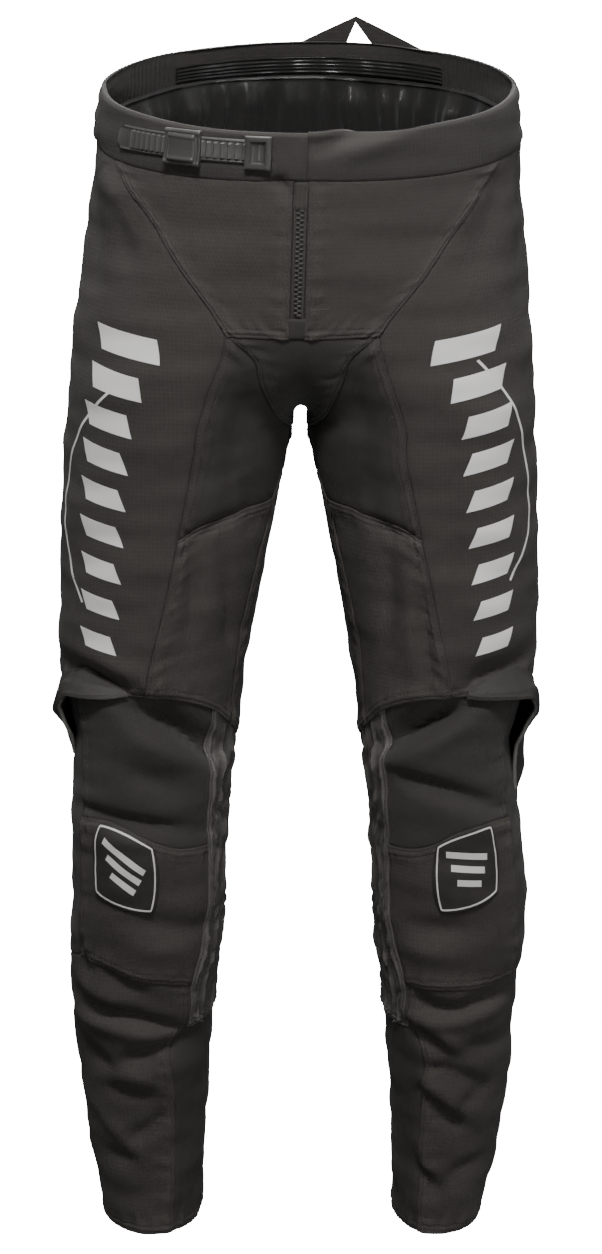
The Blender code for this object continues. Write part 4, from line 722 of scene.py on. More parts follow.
def sew_panel(
    name, surface, edges, material, slot, node,
    wall=CLOTH, off=0.0, relief=None, lining=None, held="hung",
):
    """A panel of cloth. Its edges are pulled in by half of the seam's gap, and each gets the
    relief of its kind, in the order top, bottom, start, end. Relief and lining are functions
    of the distances from the four edges and of the points: what the outer face stands proud,
    and what the inner one does."""
    points, smooth, outward = surface
    normals = grid_normals(points, outward)
    along_row, along_column = lengths_along(smooth, 1), lengths_along(smooth, 0)
    distances = (
        along_column, along_column[-1:] - along_column, along_row, along_row[:, -1:] - along_row
    )
    alongs = (along_row, along_row, along_column, along_column)
    rise = sum(
        edge_relief(kind, distance, along + PUCKER_SHIFT * number)
        for number, (kind, distance, along) in enumerate(zip(edges, distances, alongs))
    )
    if relief is not None:
        rise = rise + relief(distances, smooth)
    sink = np.minimum(rise, 0.0)
    if lining is not None:
        sink = sink + lining(distances, smooth)
    pull = np.zeros_like(points)
    row_way, column_way = unit(np.gradient(points, axis=1)), unit(np.gradient(points, axis=0))
    pull[:, 0] += HALF_GAP * row_way[:, 0]
    pull[:, -1] -= HALF_GAP * row_way[:, -1]
    pull[0] += HALF_GAP * column_way[0]
    pull[-1] -= HALF_GAP * column_way[-1]
    outer = points + pull + (rise + off)[..., None] * normals
    inner = points + pull + (sink + off - wall)[..., None] * normals
    middle = along_row[:, along_row.shape[1] // 2][:, None]
    grain = np.stack((along_row - middle, smooth[..., 2]), axis=-1)
    piece = add_piece(name, wall_mesh(name, outer, inner, grain, rise), material, slot, node)
    PANELS[name] = (outer, normals, distances, edges)


def leg_panel(part, side, lines, edges, material, slot, **options):
    """A panel between four cut lines, in the order top, bottom, start, end."""
    name = f"{SIDE_NAMES[side]}_{part}"
    coarse = np.linspace(0.0, 1.0, 9)
    rough = fill_lines(*lines, coarse, coarse)
    rough = cloth_point(side, rough[..., 0], rough[..., 1], creased=False)
    across = seam_spacing(float(lengths_along(rough, 1)[:, -1].mean()))
    down = seam_spacing(float(lengths_along(rough, 0)[-1].mean()))
    surface = half_surface(side, fill_lines(*lines, across, down))
    sew_panel(f"{name}_cloth", surface, edges, material, slot, name, **options)


def add_node(tree, kind, inputs=None, **settings):
    """Adds a node with its settings, and links or sets its inputs by name or place."""
    node = tree.nodes.new(kind)
    for name, value in settings.items():
        setattr(node, name, value)
    for name, value in (inputs or {}).items():
        if isinstance(value, bpy.types.NodeSocket):
            tree.links.new(value, node.inputs[name])
        else:
            node.inputs[name].default_value = value
    return node


def calculate(tree, operation, first, second=0.0, third=0.0):
    """Output of a Math node."""
    inputs = {0: first, 1: second, 2: third}
    return add_node(tree, "ShaderNodeMath", inputs, operation=operation).outputs[0]


def start_group(name, inputs, outputs):
    """An empty node group. Inputs are names with kinds and values, outputs names with kinds."""
    group = bpy.data.node_groups.new(name, "ShaderNodeTree")
    for label, kind, value in inputs:
        socket = group.interface.new_socket(label, in_out="INPUT", socket_type=kind)
        if value is not None:
            socket.default_value = value
    for label, kind in outputs:
        group.interface.new_socket(label, in_out="OUTPUT", socket_type=kind)
    given = add_node(group, "NodeGroupInput").outputs
    return group, given, add_node(group, "NodeGroupOutput").inputs


def object_place(tree):
    """Place of the shaded point on the object, in metres."""
    return add_node(tree, "ShaderNodeTexCoord").outputs["Object"]


def noise(tree, place, scale, detail):
    """Output of a noise texture."""
    inputs = {"Vector": place, "Scale": scale, "Detail": detail}
    return add_node(tree, "ShaderNodeTexNoise", inputs).outputs[0]


# Sharpness of the ripstop lines, size of the fibres' noise, and what each adds to the height
RIPSTOP_POWER, FIBRE_SCALE, FIBRE_SHARE = 18.0, 2600.0, 0.35


def weave_group():
    """Plain weave with ripstop lines. Threads cross as sin * sin of the two directions, and the
    lines are the same cosines raised to a high power, so that they are narrow."""
    tree, given, result = start_group(
        "weave",
        (("Place", "NodeSocketVector", None), ("Thread", "NodeSocketFloat", 0.0006),
         ("Grid", "NodeSocketFloat", 0.004), ("Grid Rise", "NodeSocketFloat", 0.5)),
        (("Height", "NodeSocketFloat"), ("Shade", "NodeSocketFloat")),
    )
    parts = add_node(tree, "ShaderNodeSeparateXYZ", {0: given["Place"]}).outputs
    threads, lines = [], []
    for axis in (0, 1):
        count = calculate(tree, "DIVIDE", parts[axis], given["Thread"])
        threads.append(calculate(tree, "SINE", calculate(tree, "MULTIPLY", count, math.pi)))
        count = calculate(tree, "DIVIDE", parts[axis], given["Grid"])
        line = calculate(tree, "COSINE", calculate(tree, "MULTIPLY", count, math.pi))
        lines.append(calculate(tree, "POWER", calculate(tree, "ABSOLUTE", line), RIPSTOP_POWER))
    crossing = calculate(tree, "MULTIPLY", threads[0], threads[1])
    either = calculate(tree, "MAXIMUM", lines[0], lines[1])
    grid = calculate(tree, "MULTIPLY", either, given["Grid Rise"])
    height = calculate(tree, "ADD", calculate(tree, "MULTIPLY_ADD", crossing, 0.5, 0.5), grid)
    fibre = noise(tree, given["Place"], FIBRE_SCALE, 2.0)
    height = calculate(tree, "MULTIPLY_ADD", fibre, FIBRE_SHARE, height)
    shade = calculate(tree, "MULTIPLY_ADD", grid, 0.8, calculate(tree, "MULTIPLY", height, 0.3))
    tree.links.new(height, result["Height"])
    tree.links.new(shade, result["Shade"])
    return tree


# Scale and detail of the clouds and the specks of faded cloth
CLOUDS, SPECKS = (9.0, 4.0), (240.0, 3.0)
# What clouds, specks, rub marks with their painted highlights and the weave's shade each add
# to the fading and painted highlight, and its start
CLOUD_SHARE, SPECK_SHARE, RUB_AND_HIGHLIGHT_SHARE, SHADE_SHARE, FADING_AND_HIGHLIGHT_START = 0.55, 0.18, 0.45, 0.25, -0.10


def fading_and_highlight_group():
    """Where cloth has faded, and where moulded parts that stand proud get a painted highlight:
    broad clouds, the raised rub marks of folds and seams, which on moulded teeth and frames are
    painted highlights, and a little of the weave's own shade, added up from 0 to 1."""
    tree, given, result = start_group(
        "fading and highlight",
        (("Place", "NodeSocketVector", None), ("Rub And Highlight", "NodeSocketFloat", 0.0),
         ("Shade", "NodeSocketFloat", 0.0)),
        (("Fading And Highlight", "NodeSocketFloat"),),
    )
    fading_and_highlight = FADING_AND_HIGHLIGHT_START
    for mark, share in (
        (noise(tree, given["Place"], *CLOUDS), CLOUD_SHARE),
        (noise(tree, given["Place"], *SPECKS), SPECK_SHARE),
        (given["Rub And Highlight"], RUB_AND_HIGHLIGHT_SHARE),
        (given["Shade"], SHADE_SHARE),
    ):
        fading_and_highlight = calculate(tree, "MULTIPLY_ADD", mark, share, fading_and_highlight)
    tree.links.new(add_node(tree, "ShaderNodeClamp", {0: fading_and_highlight}).outputs[0], result["Fading And Highlight"])
    return tree


WEAVE, FADING_AND_HIGHLIGHT = weave_group(), fading_and_highlight_group()
SHEEN_ROUGHNESS, SPECULAR_LEVEL = 0.6, 0.35


def finish_from(name, dark, light, roughness, detail, sheen=0.0, relief_depth=0.00025):
    """A material whose colour and roughness follow the group of fading and painted highlight,
    and whose bump is the height that detail makes. Detail is a function of the tree that returns
    height and shade. Roughness is a pair: at the darkest and at the most faded or highlighted place."""
    material = bpy.data.materials.new(name)
    material.use_nodes = True
    tree = material.node_tree
    shader = tree.nodes["Principled BSDF"]
    height, shade = detail(tree)
    # Rub mark: wear on cloth, and a painted highlight on proud moulded tips
    rub_and_highlight = add_node(tree, "ShaderNodeAttribute", attribute_name="rub_and_highlight").outputs["Fac"]
    marks = {"Place": object_place(tree), "Rub And Highlight": rub_and_highlight, "Shade": shade}
    fading_and_highlight = add_node(tree, "ShaderNodeGroup", marks, node_tree=FADING_AND_HIGHLIGHT).outputs["Fading And Highlight"]
    colours = {0: fading_and_highlight, 6: (*dark, 1.0), 7: (*light, 1.0)}
    colour = add_node(tree, "ShaderNodeMix", colours, data_type="RGBA")
    rough = add_node(tree, "ShaderNodeMapRange", {0: fading_and_highlight, 3: roughness[0], 4: roughness[1]})
    relief = {"Height": height, "Distance": relief_depth, "Strength": 1.0}
    bump = add_node(tree, "ShaderNodeBump", relief)
    tree.links.new(colour.outputs[2], shader.inputs["Base Color"])
    tree.links.new(rough.outputs[0], shader.inputs["Roughness"])
    tree.links.new(bump.outputs[0], shader.inputs["Normal"])
    shader.inputs["Sheen Weight"].default_value = sheen
    shader.inputs["Sheen Roughness"].default_value = SHEEN_ROUGHNESS
    shader.inputs["Specular IOR Level"].default_value = SPECULAR_LEVEL
    return material


def woven(thread, grid, grid_rise):
    """Detail of a woven cloth, on the grain of its panel."""
    def detail(tree):
        place = add_node(tree, "ShaderNodeUVMap", uv_map="grain").outputs[0]
        cloth = {"Place": place, "Thread": thread, "Grid": grid, "Grid Rise": grid_rise}
        node = add_node(tree, "ShaderNodeGroup", cloth, node_tree=WEAVE)
        return node.outputs["Height"], node.outputs["Shade"]
    return detail


ripstop = finish_from(
    "woven cloth", (0.034, 0.0303, 0.0272), (0.078, 0.0690, 0.0615), (0.76, 0.58),
    woven(0.0006, 0.0036, 0.42), sheen=0.06,
)
for side in (RIGHT, LEFT):
    cut = CUT[side]
    waist_seam = level_seam(band_seam_height, SIDE_TURN, HIP_TURN)
    leg_panel(
        "thigh_front", side, (waist_seam, cut["hem_thigh"], cut["side"], cut["thigh_front"]),
        ("under", "hem", "over", "under"), ripstop, "woven_cloth",
    )


# Front panels: ripstop cloth between the hip seams and the zip, sewn over the thigh fronts.
# The right one carries the fly's flap, which stands over the zip.
YOKE_HEIGHT = -0.184
ZIP_EDGES = {RIGHT: 0.0110, LEFT: 0.0015}

for side in (RIGHT, LEFT):
    cut = CUT[side]
    corner_z, corner_turn = HIP_CORNER
    top_turn = turn_at_x(side, float(band_seam_height(-90.0)), ZIP_EDGES[side], -1)
    zip_top = float(band_seam_height(top_turn))
    yoke_end = -float(ring_shape(side, YOKE_HEIGHT)[3])
    zip_turn = turn_at_x(side, YOKE_HEIGHT, ZIP_EDGES[side], -1)
    yoke_share = (zip_turn - corner_turn) / (yoke_end - corner_turn)
    zip_low = corner_z + yoke_share * (YOKE_HEIGHT - corner_z)
    zip_edge = middle_seam(side, zip_top, zip_low, -1, ZIP_EDGES[side])
    ends = zip_edge(np.array((0.0, 1.0)))
    waist_seam = level_seam(band_seam_height, HIP_TURN, float(ends[0, 1]))
    yoke_seam = seam((HIP_CORNER, tuple(ends[1])))
    leg_panel(
        "front_panel", side, (waist_seam, yoke_seam, cut["hip"], zip_edge),
        ("under", "over", "over", "over"), ripstop, "woven_cloth",
    )


# Inner thighs: the upper parts are smooth cloth, and meet the lower ones, of ripstop, in a
# seam that puckers. A diamond of stretch cloth joins the legs at the crotch.
smooth = finish_from(
    "smooth cloth", (0.030, 0.0270, 0.0250), (0.062, 0.0560, 0.0515), (0.66, 0.50),
    woven(0.0004, 0.01, 0.0), sheen=0.05, relief_depth=0.00012,
)
stretch = finish_from(
    "stretch cloth", (0.024, 0.0215, 0.0198), (0.050, 0.0450, 0.0410), (0.84, 0.68),
    woven(0.0008, 0.0016, 0.25), sheen=0.10, relief_depth=0.0003,
)
CROTCH_HEIGHT = -0.262
GUSSET_LENGTH, GUSSET_WIDTH = 0.16, 0.14

for side in (RIGHT, LEFT):
    cut = CUT[side]
    leg_panel(
        "inner_thigh_upper", side,
        (cut["gusset_front"], cut["wrinkled"], cut["thigh_upper"], cut["inseam_upper"]),
        ("under", "under", "over", "under"), smooth, "smooth_cloth",
    )
    leg_panel(
        "inner_thigh_lower", side,
        (cut["wrinkled"], cut["hem_inner_thigh"], cut["thigh_lower"], cut["inseam_lower"]),
        ("over", "hem", "over", "under"), ripstop, "woven_cloth",
    )

gusset_down = seam_spacing(GUSSET_LENGTH)
gusset_across = seam_spacing(GUSSET_WIDTH)
gusset_across = gusset_across[gusset_across <= 0.5] / gusset_across[gusset_across <= 0.5][-1]
across = gusset_across[None, :, None]
gusset_patches = {}
for side in (RIGHT, LEFT):
    halves = []
    for line, top, sign in (
        (CUT[side]["gusset_front"], YOKE_HEIGHT, -1.0),
        (backwards(CUT[side]["gusset_back"]), GUSSET_TOP_HEIGHT, 1.0),
    ):
        heights = top + (CROTCH_HEIGHT - top) * np.sin(gusset_down * math.pi / 2)
        middle = np.stack((heights, sign * ring_shape(side, heights)[3]), axis=-1)
        halves.append((1 - across) * line(gusset_down)[:, None] + across * middle[:, None])
    gusset_patches[side] = np.concatenate((halves[0], halves[1][-2::-1]))
sew_panel(
    "crotch_gusset_cloth", whole_surface(gusset_patches), ("under", "open", "over", "over"), stretch,
    "stretch_cloth", "crotch_gusset",
)


# Seat and backs of the thighs: stretch cloth over the seat, ripstop below it, sewn to the
# fronts at the side seams. They are plain, with only the seams that such trousers must have.
for side in (RIGHT, LEFT):
    cut = CUT[side]
    back_turn = float(ring_shape(side, float(band_seam_height(90.0)))[3])
    back_top = float(band_seam_height(back_turn))
    waist_seam = level_seam(band_seam_height, SIDE_TURN, back_turn)
    seat_seam = middle_seam(side, back_top, GUSSET_TOP_HEIGHT, 1)
    leg_panel(
        "seat", side, (waist_seam, cut["seat"], cut["side_upper"], seat_seam),
        ("under", "under", "under", "over"), stretch, "stretch_cloth",
    )
    inseam = moved(cut["inseam"], 360.0)
    leg_panel(
        "back_thigh", side,
        (cut["seat_and_gusset"], cut["hem_back_thigh"], cut["side_lower"], inseam),
        ("over", "hem", "under", "over"), ripstop, "woven_cloth",
    )


# Knees: stretch cloth under the thigh's hem, at the sides and behind, with a tougher woven
# patch over the kneecap. Their upper edges tuck in below the hem.
HEM_SINK, HEM_SINK_REACH, HEM_SINK_POWER = 0.0024, 0.045, 1.5
THICK_CLOTH = 0.0018


def tucked(distances, points):
    """Sinks below the hem, most at the edge, and comes level at HEM_SINK_REACH."""
    share = np.clip(1.0 - distances[0] / HEM_SINK_REACH, 0.0, 1.0)
    return -HEM_SINK * share**HEM_SINK_POWER


for side in (RIGHT, LEFT):
    cut = CUT[side]
    leg_panel(
        "knee_upper", side,
        (cut["tuck_knee"], cut["patch_top"], cut["outer_upper"], cut["guard_upper"]),
        ("open", "under", "over", "under"), stretch, "stretch_cloth", relief=tucked,
    )
    leg_panel(
        "knee_patch", side,
        (cut["patch_top"], cut["patch_low"], cut["outer_lower"], cut["guard_patch"]),
        ("over", "over", "over", "under"), ripstop, "woven_cloth", wall=THICK_CLOTH,
    )
    leg_panel(
        "knee_side", side, (cut["tuck_outer"], cut["outer_low"], cut["side_knee"], cut["outer"]),
        ("open", "under", "over", "under"), stretch, "stretch_cloth", relief=tucked,
    )
    leg_panel(
        "back_knee", side,
        (cut["tuck_back_knee"], cut["back_low"], cut["guard_back"], moved(cut["side_knee"], -360.0)),
        ("open", "under", "under", "under"), stretch, "stretch_cloth", relief=tucked,
    )


# Inner guards: leather on the inside of each knee, against heat and rubbing. It is creased
# from top to bottom, lighter and glossier where it has rubbed.
GUARD_RIDGE_PITCH, GUARD_RIDGE_RISE, GUARD_RIDGE_FADE = 0.0085, 0.0015, 0.02
# Share and pace in radians a metre of a finer set of ridges
GUARD_FINE_SHARE, GUARD_FINE_PACE = 0.6, 430.0
# Reach, pace in radians a metre and phase of each wave by which the ridges wander
GUARD_WANDER = ((0.004, 37.0, 0.0), (0.002, 91.0, 1.0))


def grain_group():
    """Leather grain: the edges of Voronoi cells of two sizes, as furrows."""
    tree, given, result = start_group(
        "grain", (("Place", "NodeSocketVector", None), ("Size", "NodeSocketFloat", 0.0011)),
        (("Height", "NodeSocketFloat"), ("Shade", "NodeSocketFloat")),
    )
    height = None
    for scale, share in ((1.0, 0.7), (2.3, 0.3)):
        inputs = {"Vector": given["Place"], "Scale": calculate(tree, "DIVIDE", scale, given["Size"])}
        cells = add_node(tree, "ShaderNodeTexVoronoi", inputs, feature="DISTANCE_TO_EDGE")
        cell = calculate(tree, "MINIMUM", calculate(tree, "MULTIPLY", cells.outputs[0], 4.0), 1.0)
        height = calculate(tree, "MULTIPLY_ADD", cell, share, 0.0 if height is None else height)
    tree.links.new(height, result["Height"])
    tree.links.new(calculate(tree, "MULTIPLY", height, 0.4), result["Shade"])
    return tree


GRAIN = grain_group()


def grained(size):
    """Detail of leather or of a moulded skin, in the place of the object."""
    def detail(tree):
        skin = {"Place": object_place(tree), "Size": size}
        node = add_node(tree, "ShaderNodeGroup", skin, node_tree=GRAIN)
        return node.outputs["Height"], node.outputs["Shade"]
    return detail


leather = finish_from(
    "guard leather", (0.056, 0.0520, 0.0485), (0.210, 0.1980, 0.1850), (0.40, 0.20),
    grained(0.0012), relief_depth=0.00018,
)


def ridged(distances, points):
    """Uneven ridges down the guard, fading out at its edges, on top of the tuck."""
    wander = sum(reach * np.sin(points[..., 2] * pace + phase) for reach, pace, phase in GUARD_WANDER)
    place = distances[2] + wander
    wave = np.sin(place / GUARD_RIDGE_PITCH * math.tau)
    wave = wave + GUARD_FINE_SHARE * np.sin(place * GUARD_FINE_PACE)
    edge = np.clip(np.minimum(distances[2], distances[3]) / GUARD_RIDGE_FADE, 0.0, 1.0)
    return GUARD_RIDGE_RISE * wave * edge + tucked(distances, points)


for side in (RIGHT, LEFT):
    cut = CUT[side]
    leg_panel(
        "inner_guard", side, (cut["tuck_guard"], cut["guard_low"], cut["guard"], cut["guard_back"]),
        ("open", "over", "over", "over"), leather, "guard_leather", wall=THICK_CLOTH, relief=ridged,
    )


# Shins and calves: ripstop in front and behind, smooth cloth on the inner side, drawn in by
# small gathers above the hem. The hems are turned up and sewn twice.
GATHER_RISE, GATHER_REACH = 0.0011, 0.045
# Height of the hem that holds the gathers flat, and the width over which they fade at a seam
GATHER_HEM, GATHER_FADE = 0.012, 0.01
# Share, pace in radians a metre and phase of each set of gathers
GATHER_WAVES = ((1.0, 880.0, 0.0), (0.5, 1370.0, 1.3))


def gathered(distances, points):
    """Upright gathers that grow towards the hem."""
    near_hem = np.exp(-((distances[1] / GATHER_REACH) ** 2))
    near_hem = near_hem * np.clip(distances[1] / GATHER_HEM, 0.25, 1.0)
    across = distances[2] + 0.003 * np.sin(points[..., 2] * 60.0)
    wave = sum(share * np.sin(across * pace + phase) for share, pace, phase in GATHER_WAVES)
    edge = np.clip(np.minimum(distances[2], distances[3]) / GATHER_FADE, 0.0, 1.0)
    return GATHER_RISE * wave * near_hem * edge


def bottom_hem(start, end):
    """Open bottom edge of a leg."""
    return level_seam(lambda turns: np.full_like(turns, HEM_HEIGHT), start, end)


for side in (RIGHT, LEFT):
    cut = CUT[side]
    hem = bottom_hem(HEM_SIDE_TURN, HEM_FRONT_TURN)
    leg_panel(
        "shin", side, (cut["shin_top"], hem, cut["side_shin"], cut["shin_and_guard"]),
        ("under", "hem", "over", "over"), ripstop, "woven_cloth",
    )
    hem = bottom_hem(HEM_FRONT_TURN, HEM_BACK_TURN)
    leg_panel(
        "shin_inner", side, (cut["guard_low"], hem, cut["shin"], cut["calf"]),
        ("under", "hem", "under", "under"), smooth, "smooth_cloth", relief=gathered,
    )
    hem = bottom_hem(HEM_BACK_TURN, HEM_SIDE_TURN - 360.0)
    leg_panel(
        "calf", side, (cut["back_low"], hem, cut["calf"], moved(cut["side_shin"], -360.0)),
        ("over", "hem", "over", "under"), ripstop, "woven_cloth",
    )


# Waistband: a stiffened band of ripstop cloth in front and behind, with ribbed elastic at
# both sides that draws it in. It is sewn to the tops of the panels all round.
BAND_WALL, ELASTIC_WALL = 0.0030, 0.0020
BAND_FRONT_END, BAND_BACK_START = 2.0, SIDE_TURN
BAND_HEIGHT, BAND_CELL, ELASTIC_CELL = 0.040, 0.0035, 0.0013
BAND_FRONT_LENGTH, ELASTIC_LENGTH, BAND_BACK_HALF_LENGTH = 0.24, 0.125, 0.13
BAND_SWELL, BAND_ROLL_DEPTH, BAND_ROLL_REACH = 0.0012, 0.0009, 0.0016
ELASTIC_RIBS, ELASTIC_ROW_PITCH = 22, 0.0085
RIB_RISE, LINING_SLACK = 0.0011, 0.0002
MEETING_ROUNDS = 4


def waist_patch(side, start, end, top, bottom, across, down, meets_middle=0):
    """Grid between two level lines, which may end on the middle of the front (-1) or back (1)."""
    down = down[:, None]
    turns = np.broadcast_to(start + (end - start) * across, (len(down), len(across)))
    for _ in range(MEETING_ROUNDS):
        heights = (1 - down) * top(turns) + down * bottom(turns)
        if meets_middle:
            ends = meets_middle * ring_shape(side, heights[:, -1:])[3]
            turns = start + across * (ends - start)
    return np.stack((heights, turns), axis=-1)


def half_spacing(length, cell=CELL):
    """Shares of a length that is half of a panel: fine steps beside its seam alone."""
    shares = seam_spacing(2 * length, cell)
    shares = shares[shares <= 0.5 + 1e-9]
    return shares / shares[-1]


def padded_band(distances, points):
    """The band swells between its edges, and rolls over at the top."""
    share = np.clip(distances[0] / (distances[0] + distances[1]), 0.0, 1.0)
    roll = np.exp(-((distances[0] / BAND_ROLL_REACH) ** 2))
    return BAND_SWELL * np.sin(math.pi * share) ** 0.7 - BAND_ROLL_DEPTH * roll


def ribbed(distances, points):
    """Upright ribs, an even number between the two ends, and thin level rows of elastic."""
    width = distances[2] + distances[3]
    waves = 0.5 - 0.5 * np.cos(distances[2] / width * math.tau * ELASTIC_RIBS)
    rows = 0.5 + 0.5 * np.cos(distances[0] * math.tau / ELASTIC_ROW_PITCH)
    return RIB_RISE * waves * (0.55 + 0.45 * rows)


def ribbed_inside(distances, points):
    """The inner face of the elastic follows its ribs, a little further in."""
    return -ribbed(distances, points) - LINING_SLACK


band_cloth = finish_from(
    "band cloth", (0.027, 0.0242, 0.0220), (0.062, 0.0560, 0.0505), (0.76, 0.58),
    woven(0.0006, 0.0036, 0.30), sheen=0.06,
)
rib_elastic = finish_from(
    "rib elastic", (0.022, 0.0200, 0.0190), (0.054, 0.0500, 0.0470), (0.90, 0.76),
    woven(0.0009, 0.002, 0.3), sheen=0.08, relief_depth=0.0003,
)
band_down = seam_spacing(BAND_HEIGHT, BAND_CELL)
band_back = {}
for side in (RIGHT, LEFT):
    name = SIDE_NAMES[side]
    patch = waist_patch(
        side, BAND_FRONT_END, -90.0, waist_height, band_seam_height,
        seam_spacing(BAND_FRONT_LENGTH), band_down, meets_middle=-1,
    )
    sew_panel(
        f"{name}_waistband_front_cloth", half_surface(side, patch), ("open", "open", "over", "open"),
        band_cloth, "smooth_cloth", f"{name}_waistband_front", wall=BAND_WALL, relief=padded_band,
    )
    patch = waist_patch(
        side, BAND_FRONT_END, BAND_BACK_START, waist_height, band_seam_height,
        seam_spacing(ELASTIC_LENGTH, ELASTIC_CELL), band_down,
    )
    sew_panel(
        f"{name}_side_elastic_cloth", half_surface(side, patch), ("open", "under", "under", "under"),
        rib_elastic, "rib_elastic", f"{name}_side_elastic", wall=ELASTIC_WALL, relief=ribbed,
        lining=ribbed_inside, held="gathered",
    )
    band_back[side] = waist_patch(
        side, BAND_BACK_START, 90.0, waist_height, band_seam_height,
        half_spacing(BAND_BACK_HALF_LENGTH), band_down, meets_middle=1,
    )
sew_panel(
    "waistband_back_cloth", whole_surface(band_back), ("open", "over", "over", "over"),
    band_cloth, "smooth_cloth", "waistband_back", wall=BAND_WALL, relief=padded_band,
)


# Inside of the back waist: a ribbed strip of plain rubber that grips a shirt, and a satin
# lining sewn on below it, which hangs in loose upright folds.
GRIPPER_TOP, GRIPPER_BOTTOM, GRIPPER_WALL = 0.0125, 0.0255, 0.0008
GRIPPER_RIB_PITCH, GRIPPER_RIB_RISE = 0.0030, 0.00050
LINING_EDGE_RISE, LINING_EDGE_DOWN, LINING_EDGE_REACH = 0.0016, 0.0022, 0.0013
LINING_TOP, LINING_BOTTOM_HEIGHT, LINING_TURN, LINING_WALL = 0.0275, -0.105, 12.0, 0.0008
LINING_FOLD, LINING_LEAN, LINING_START, LINING_SIDE_FADE = 0.0125, 0.12, 0.022, 0.02
# Share, pace in radians a metre and phase of each set of folds
LINING_WAVES = ((0.55, 71.0, 0.6), (0.40, 113.0, 2.0), (0.30, 187.0, 0.9))
GRIPPER_OFF, LINING_OFF = -BAND_WALL - 0.0003, -BAND_WALL - 0.0008
GRIPPER_BOW, GRIPPER_ROWS = 0.0006, 41
LINING_HALF_LENGTH, LINING_LENGTH, LINING_CELLS = 0.22, 0.09, (0.0022, 0.003)


def rippled(distances, points):
    """Level ribs of uneven height, on a strip that doesn't lie quite flat."""
    x = points[..., 0]
    share = np.clip(distances[0] / (distances[0] + distances[1]), 0.0, 1.0)
    bow = GRIPPER_BOW * (1 + np.sin(x * 155.0 + 1.1) * np.sin(x * 61.0))
    uneven = 0.65 + 0.35 * np.sin(x * 310.0 + 2.0 * np.sin(x * 97.0))
    rib = GRIPPER_RIB_RISE * uneven * np.sin(math.tau * distances[0] / GRIPPER_RIB_PITCH)
    return -(bow + rib) * np.sin(math.pi * share) ** 0.5


def hanging_folds(distances, points):
    """Upright folds of uneven width that start below the seam and lean a little."""
    x, z = points[..., 0], points[..., 2]
    place = x + LINING_LEAN * (z + 0.03) * np.sin(x * 29.0)
    fold = sum(
        share * (1.0 - np.abs(np.sin(place * pace + phase))) ** 1.5
        for share, pace, phase in LINING_WAVES
    )
    below = np.clip(distances[0] / LINING_START, 0.05, 1.0)
    beside = np.clip(np.minimum(distances[2], distances[3]) / LINING_SIDE_FADE, 0.0, 1.0)
    edge = (distances[0] - LINING_EDGE_DOWN) / LINING_EDGE_REACH
    return -LINING_FOLD * fold * (below * beside) - LINING_EDGE_RISE * np.exp(-(edge**2))


def cloudy(scale):
    """Detail of a smooth skin: soft clouds alone."""
    def detail(tree):
        clouds = noise(tree, object_place(tree), scale, 3.0)
        return clouds, calculate(tree, "MULTIPLY", clouds, 0.3)
    return detail


satin = finish_from(
    "satin lining", (0.012, 0.0116, 0.0112), (0.060, 0.0575, 0.0555), (0.32, 0.20),
    woven(0.0003, 0.01, 0.0), relief_depth=0.00005, sheen=0.1,
)
rubber = finish_from(
    "gripper rubber", (0.014, 0.0135, 0.013), (0.050, 0.049, 0.048), (0.30, 0.18),
    cloudy(160.0), relief_depth=0.0002,
)


def below_waist(drop):
    """A level line at one distance below the top of the waistband."""
    return lambda turn: waist_height(turn) - drop


def lining_bottom(turn):
    """Lower edge of the lining."""
    return np.full_like(turn, LINING_BOTTOM_HEIGHT)


grippers, linings = {}, {}
for side in (RIGHT, LEFT):
    grippers[side] = waist_patch(
        side, BAND_BACK_START, 90.0, below_waist(GRIPPER_TOP), below_waist(GRIPPER_BOTTOM),
        half_spacing(BAND_BACK_HALF_LENGTH), np.linspace(0.0, 1.0, GRIPPER_ROWS), meets_middle=1,
    )
    linings[side] = waist_patch(
        side, LINING_TURN, 90.0, below_waist(LINING_TOP), lining_bottom,
        half_spacing(LINING_HALF_LENGTH, LINING_CELLS[0]), seam_spacing(LINING_LENGTH, LINING_CELLS[1]),
        meets_middle=1,
    )
sew_panel(
    "waist_gripper_strip", whole_surface(grippers), ("open",) * 4, rubber, "gripper_rubber",
    "waist_gripper", wall=GRIPPER_WALL, off=GRIPPER_OFF, relief=rippled, held="laid",
)
sew_panel(
    "back_lining_cloth", whole_surface(linings), ("open",) * 4, satin, "satin_lining",
    "back_lining", wall=LINING_WALL, off=LINING_OFF, relief=hanging_folds,
)


# Fly: a moulded zip on its tape between the front panels, a stitched patch that stops it at
# its lower end, and the waistband's flap over its top.
TAPE_TOP, FLY_BOTTOM = -0.0572, -0.183
TAPE_WALL, TAPE_OFF, TAPE_CELLS = 0.0013, -0.0006, (18, 60)
CORD_RISE, CORD_INSET, CORD_WIDTH = 0.0011, 0.0016, 0.0009
TOOTH_PITCH = 0.0019
TOOTH_HALF, TOOTH_BEVEL = (0.0016, 0.0006, 0.0008), 0.0003
TEETH_FROM, TEETH_TO = -0.0790, -0.166
TOOTH_SHIFT, TOOTH_MIDDLE, TOOTH_OFF = 0.0013, -0.00475, 0.0004
STOP_EDGES = {RIGHT: 0.0125, LEFT: 0.0035}
STOP_WALL, STOP_OFF = 0.0007, 0.0014
# The flap covers the zip from the waistband down to here
FLAP_BOTTOM = -0.0785
FLAP_EDGES = {RIGHT: 0.0104, LEFT: 0.0010}
FLAP_WALL, FLAP_OFF = 0.0008, 0.0016
PATCH_CELLS = (8, 14)

tape = finish_from(
    "tape", (0.034, 0.0310, 0.0285), (0.090, 0.0820, 0.0750), (0.76, 0.56),
    woven(0.0007, 0.0028, 0.35), relief_depth=0.0002,
)


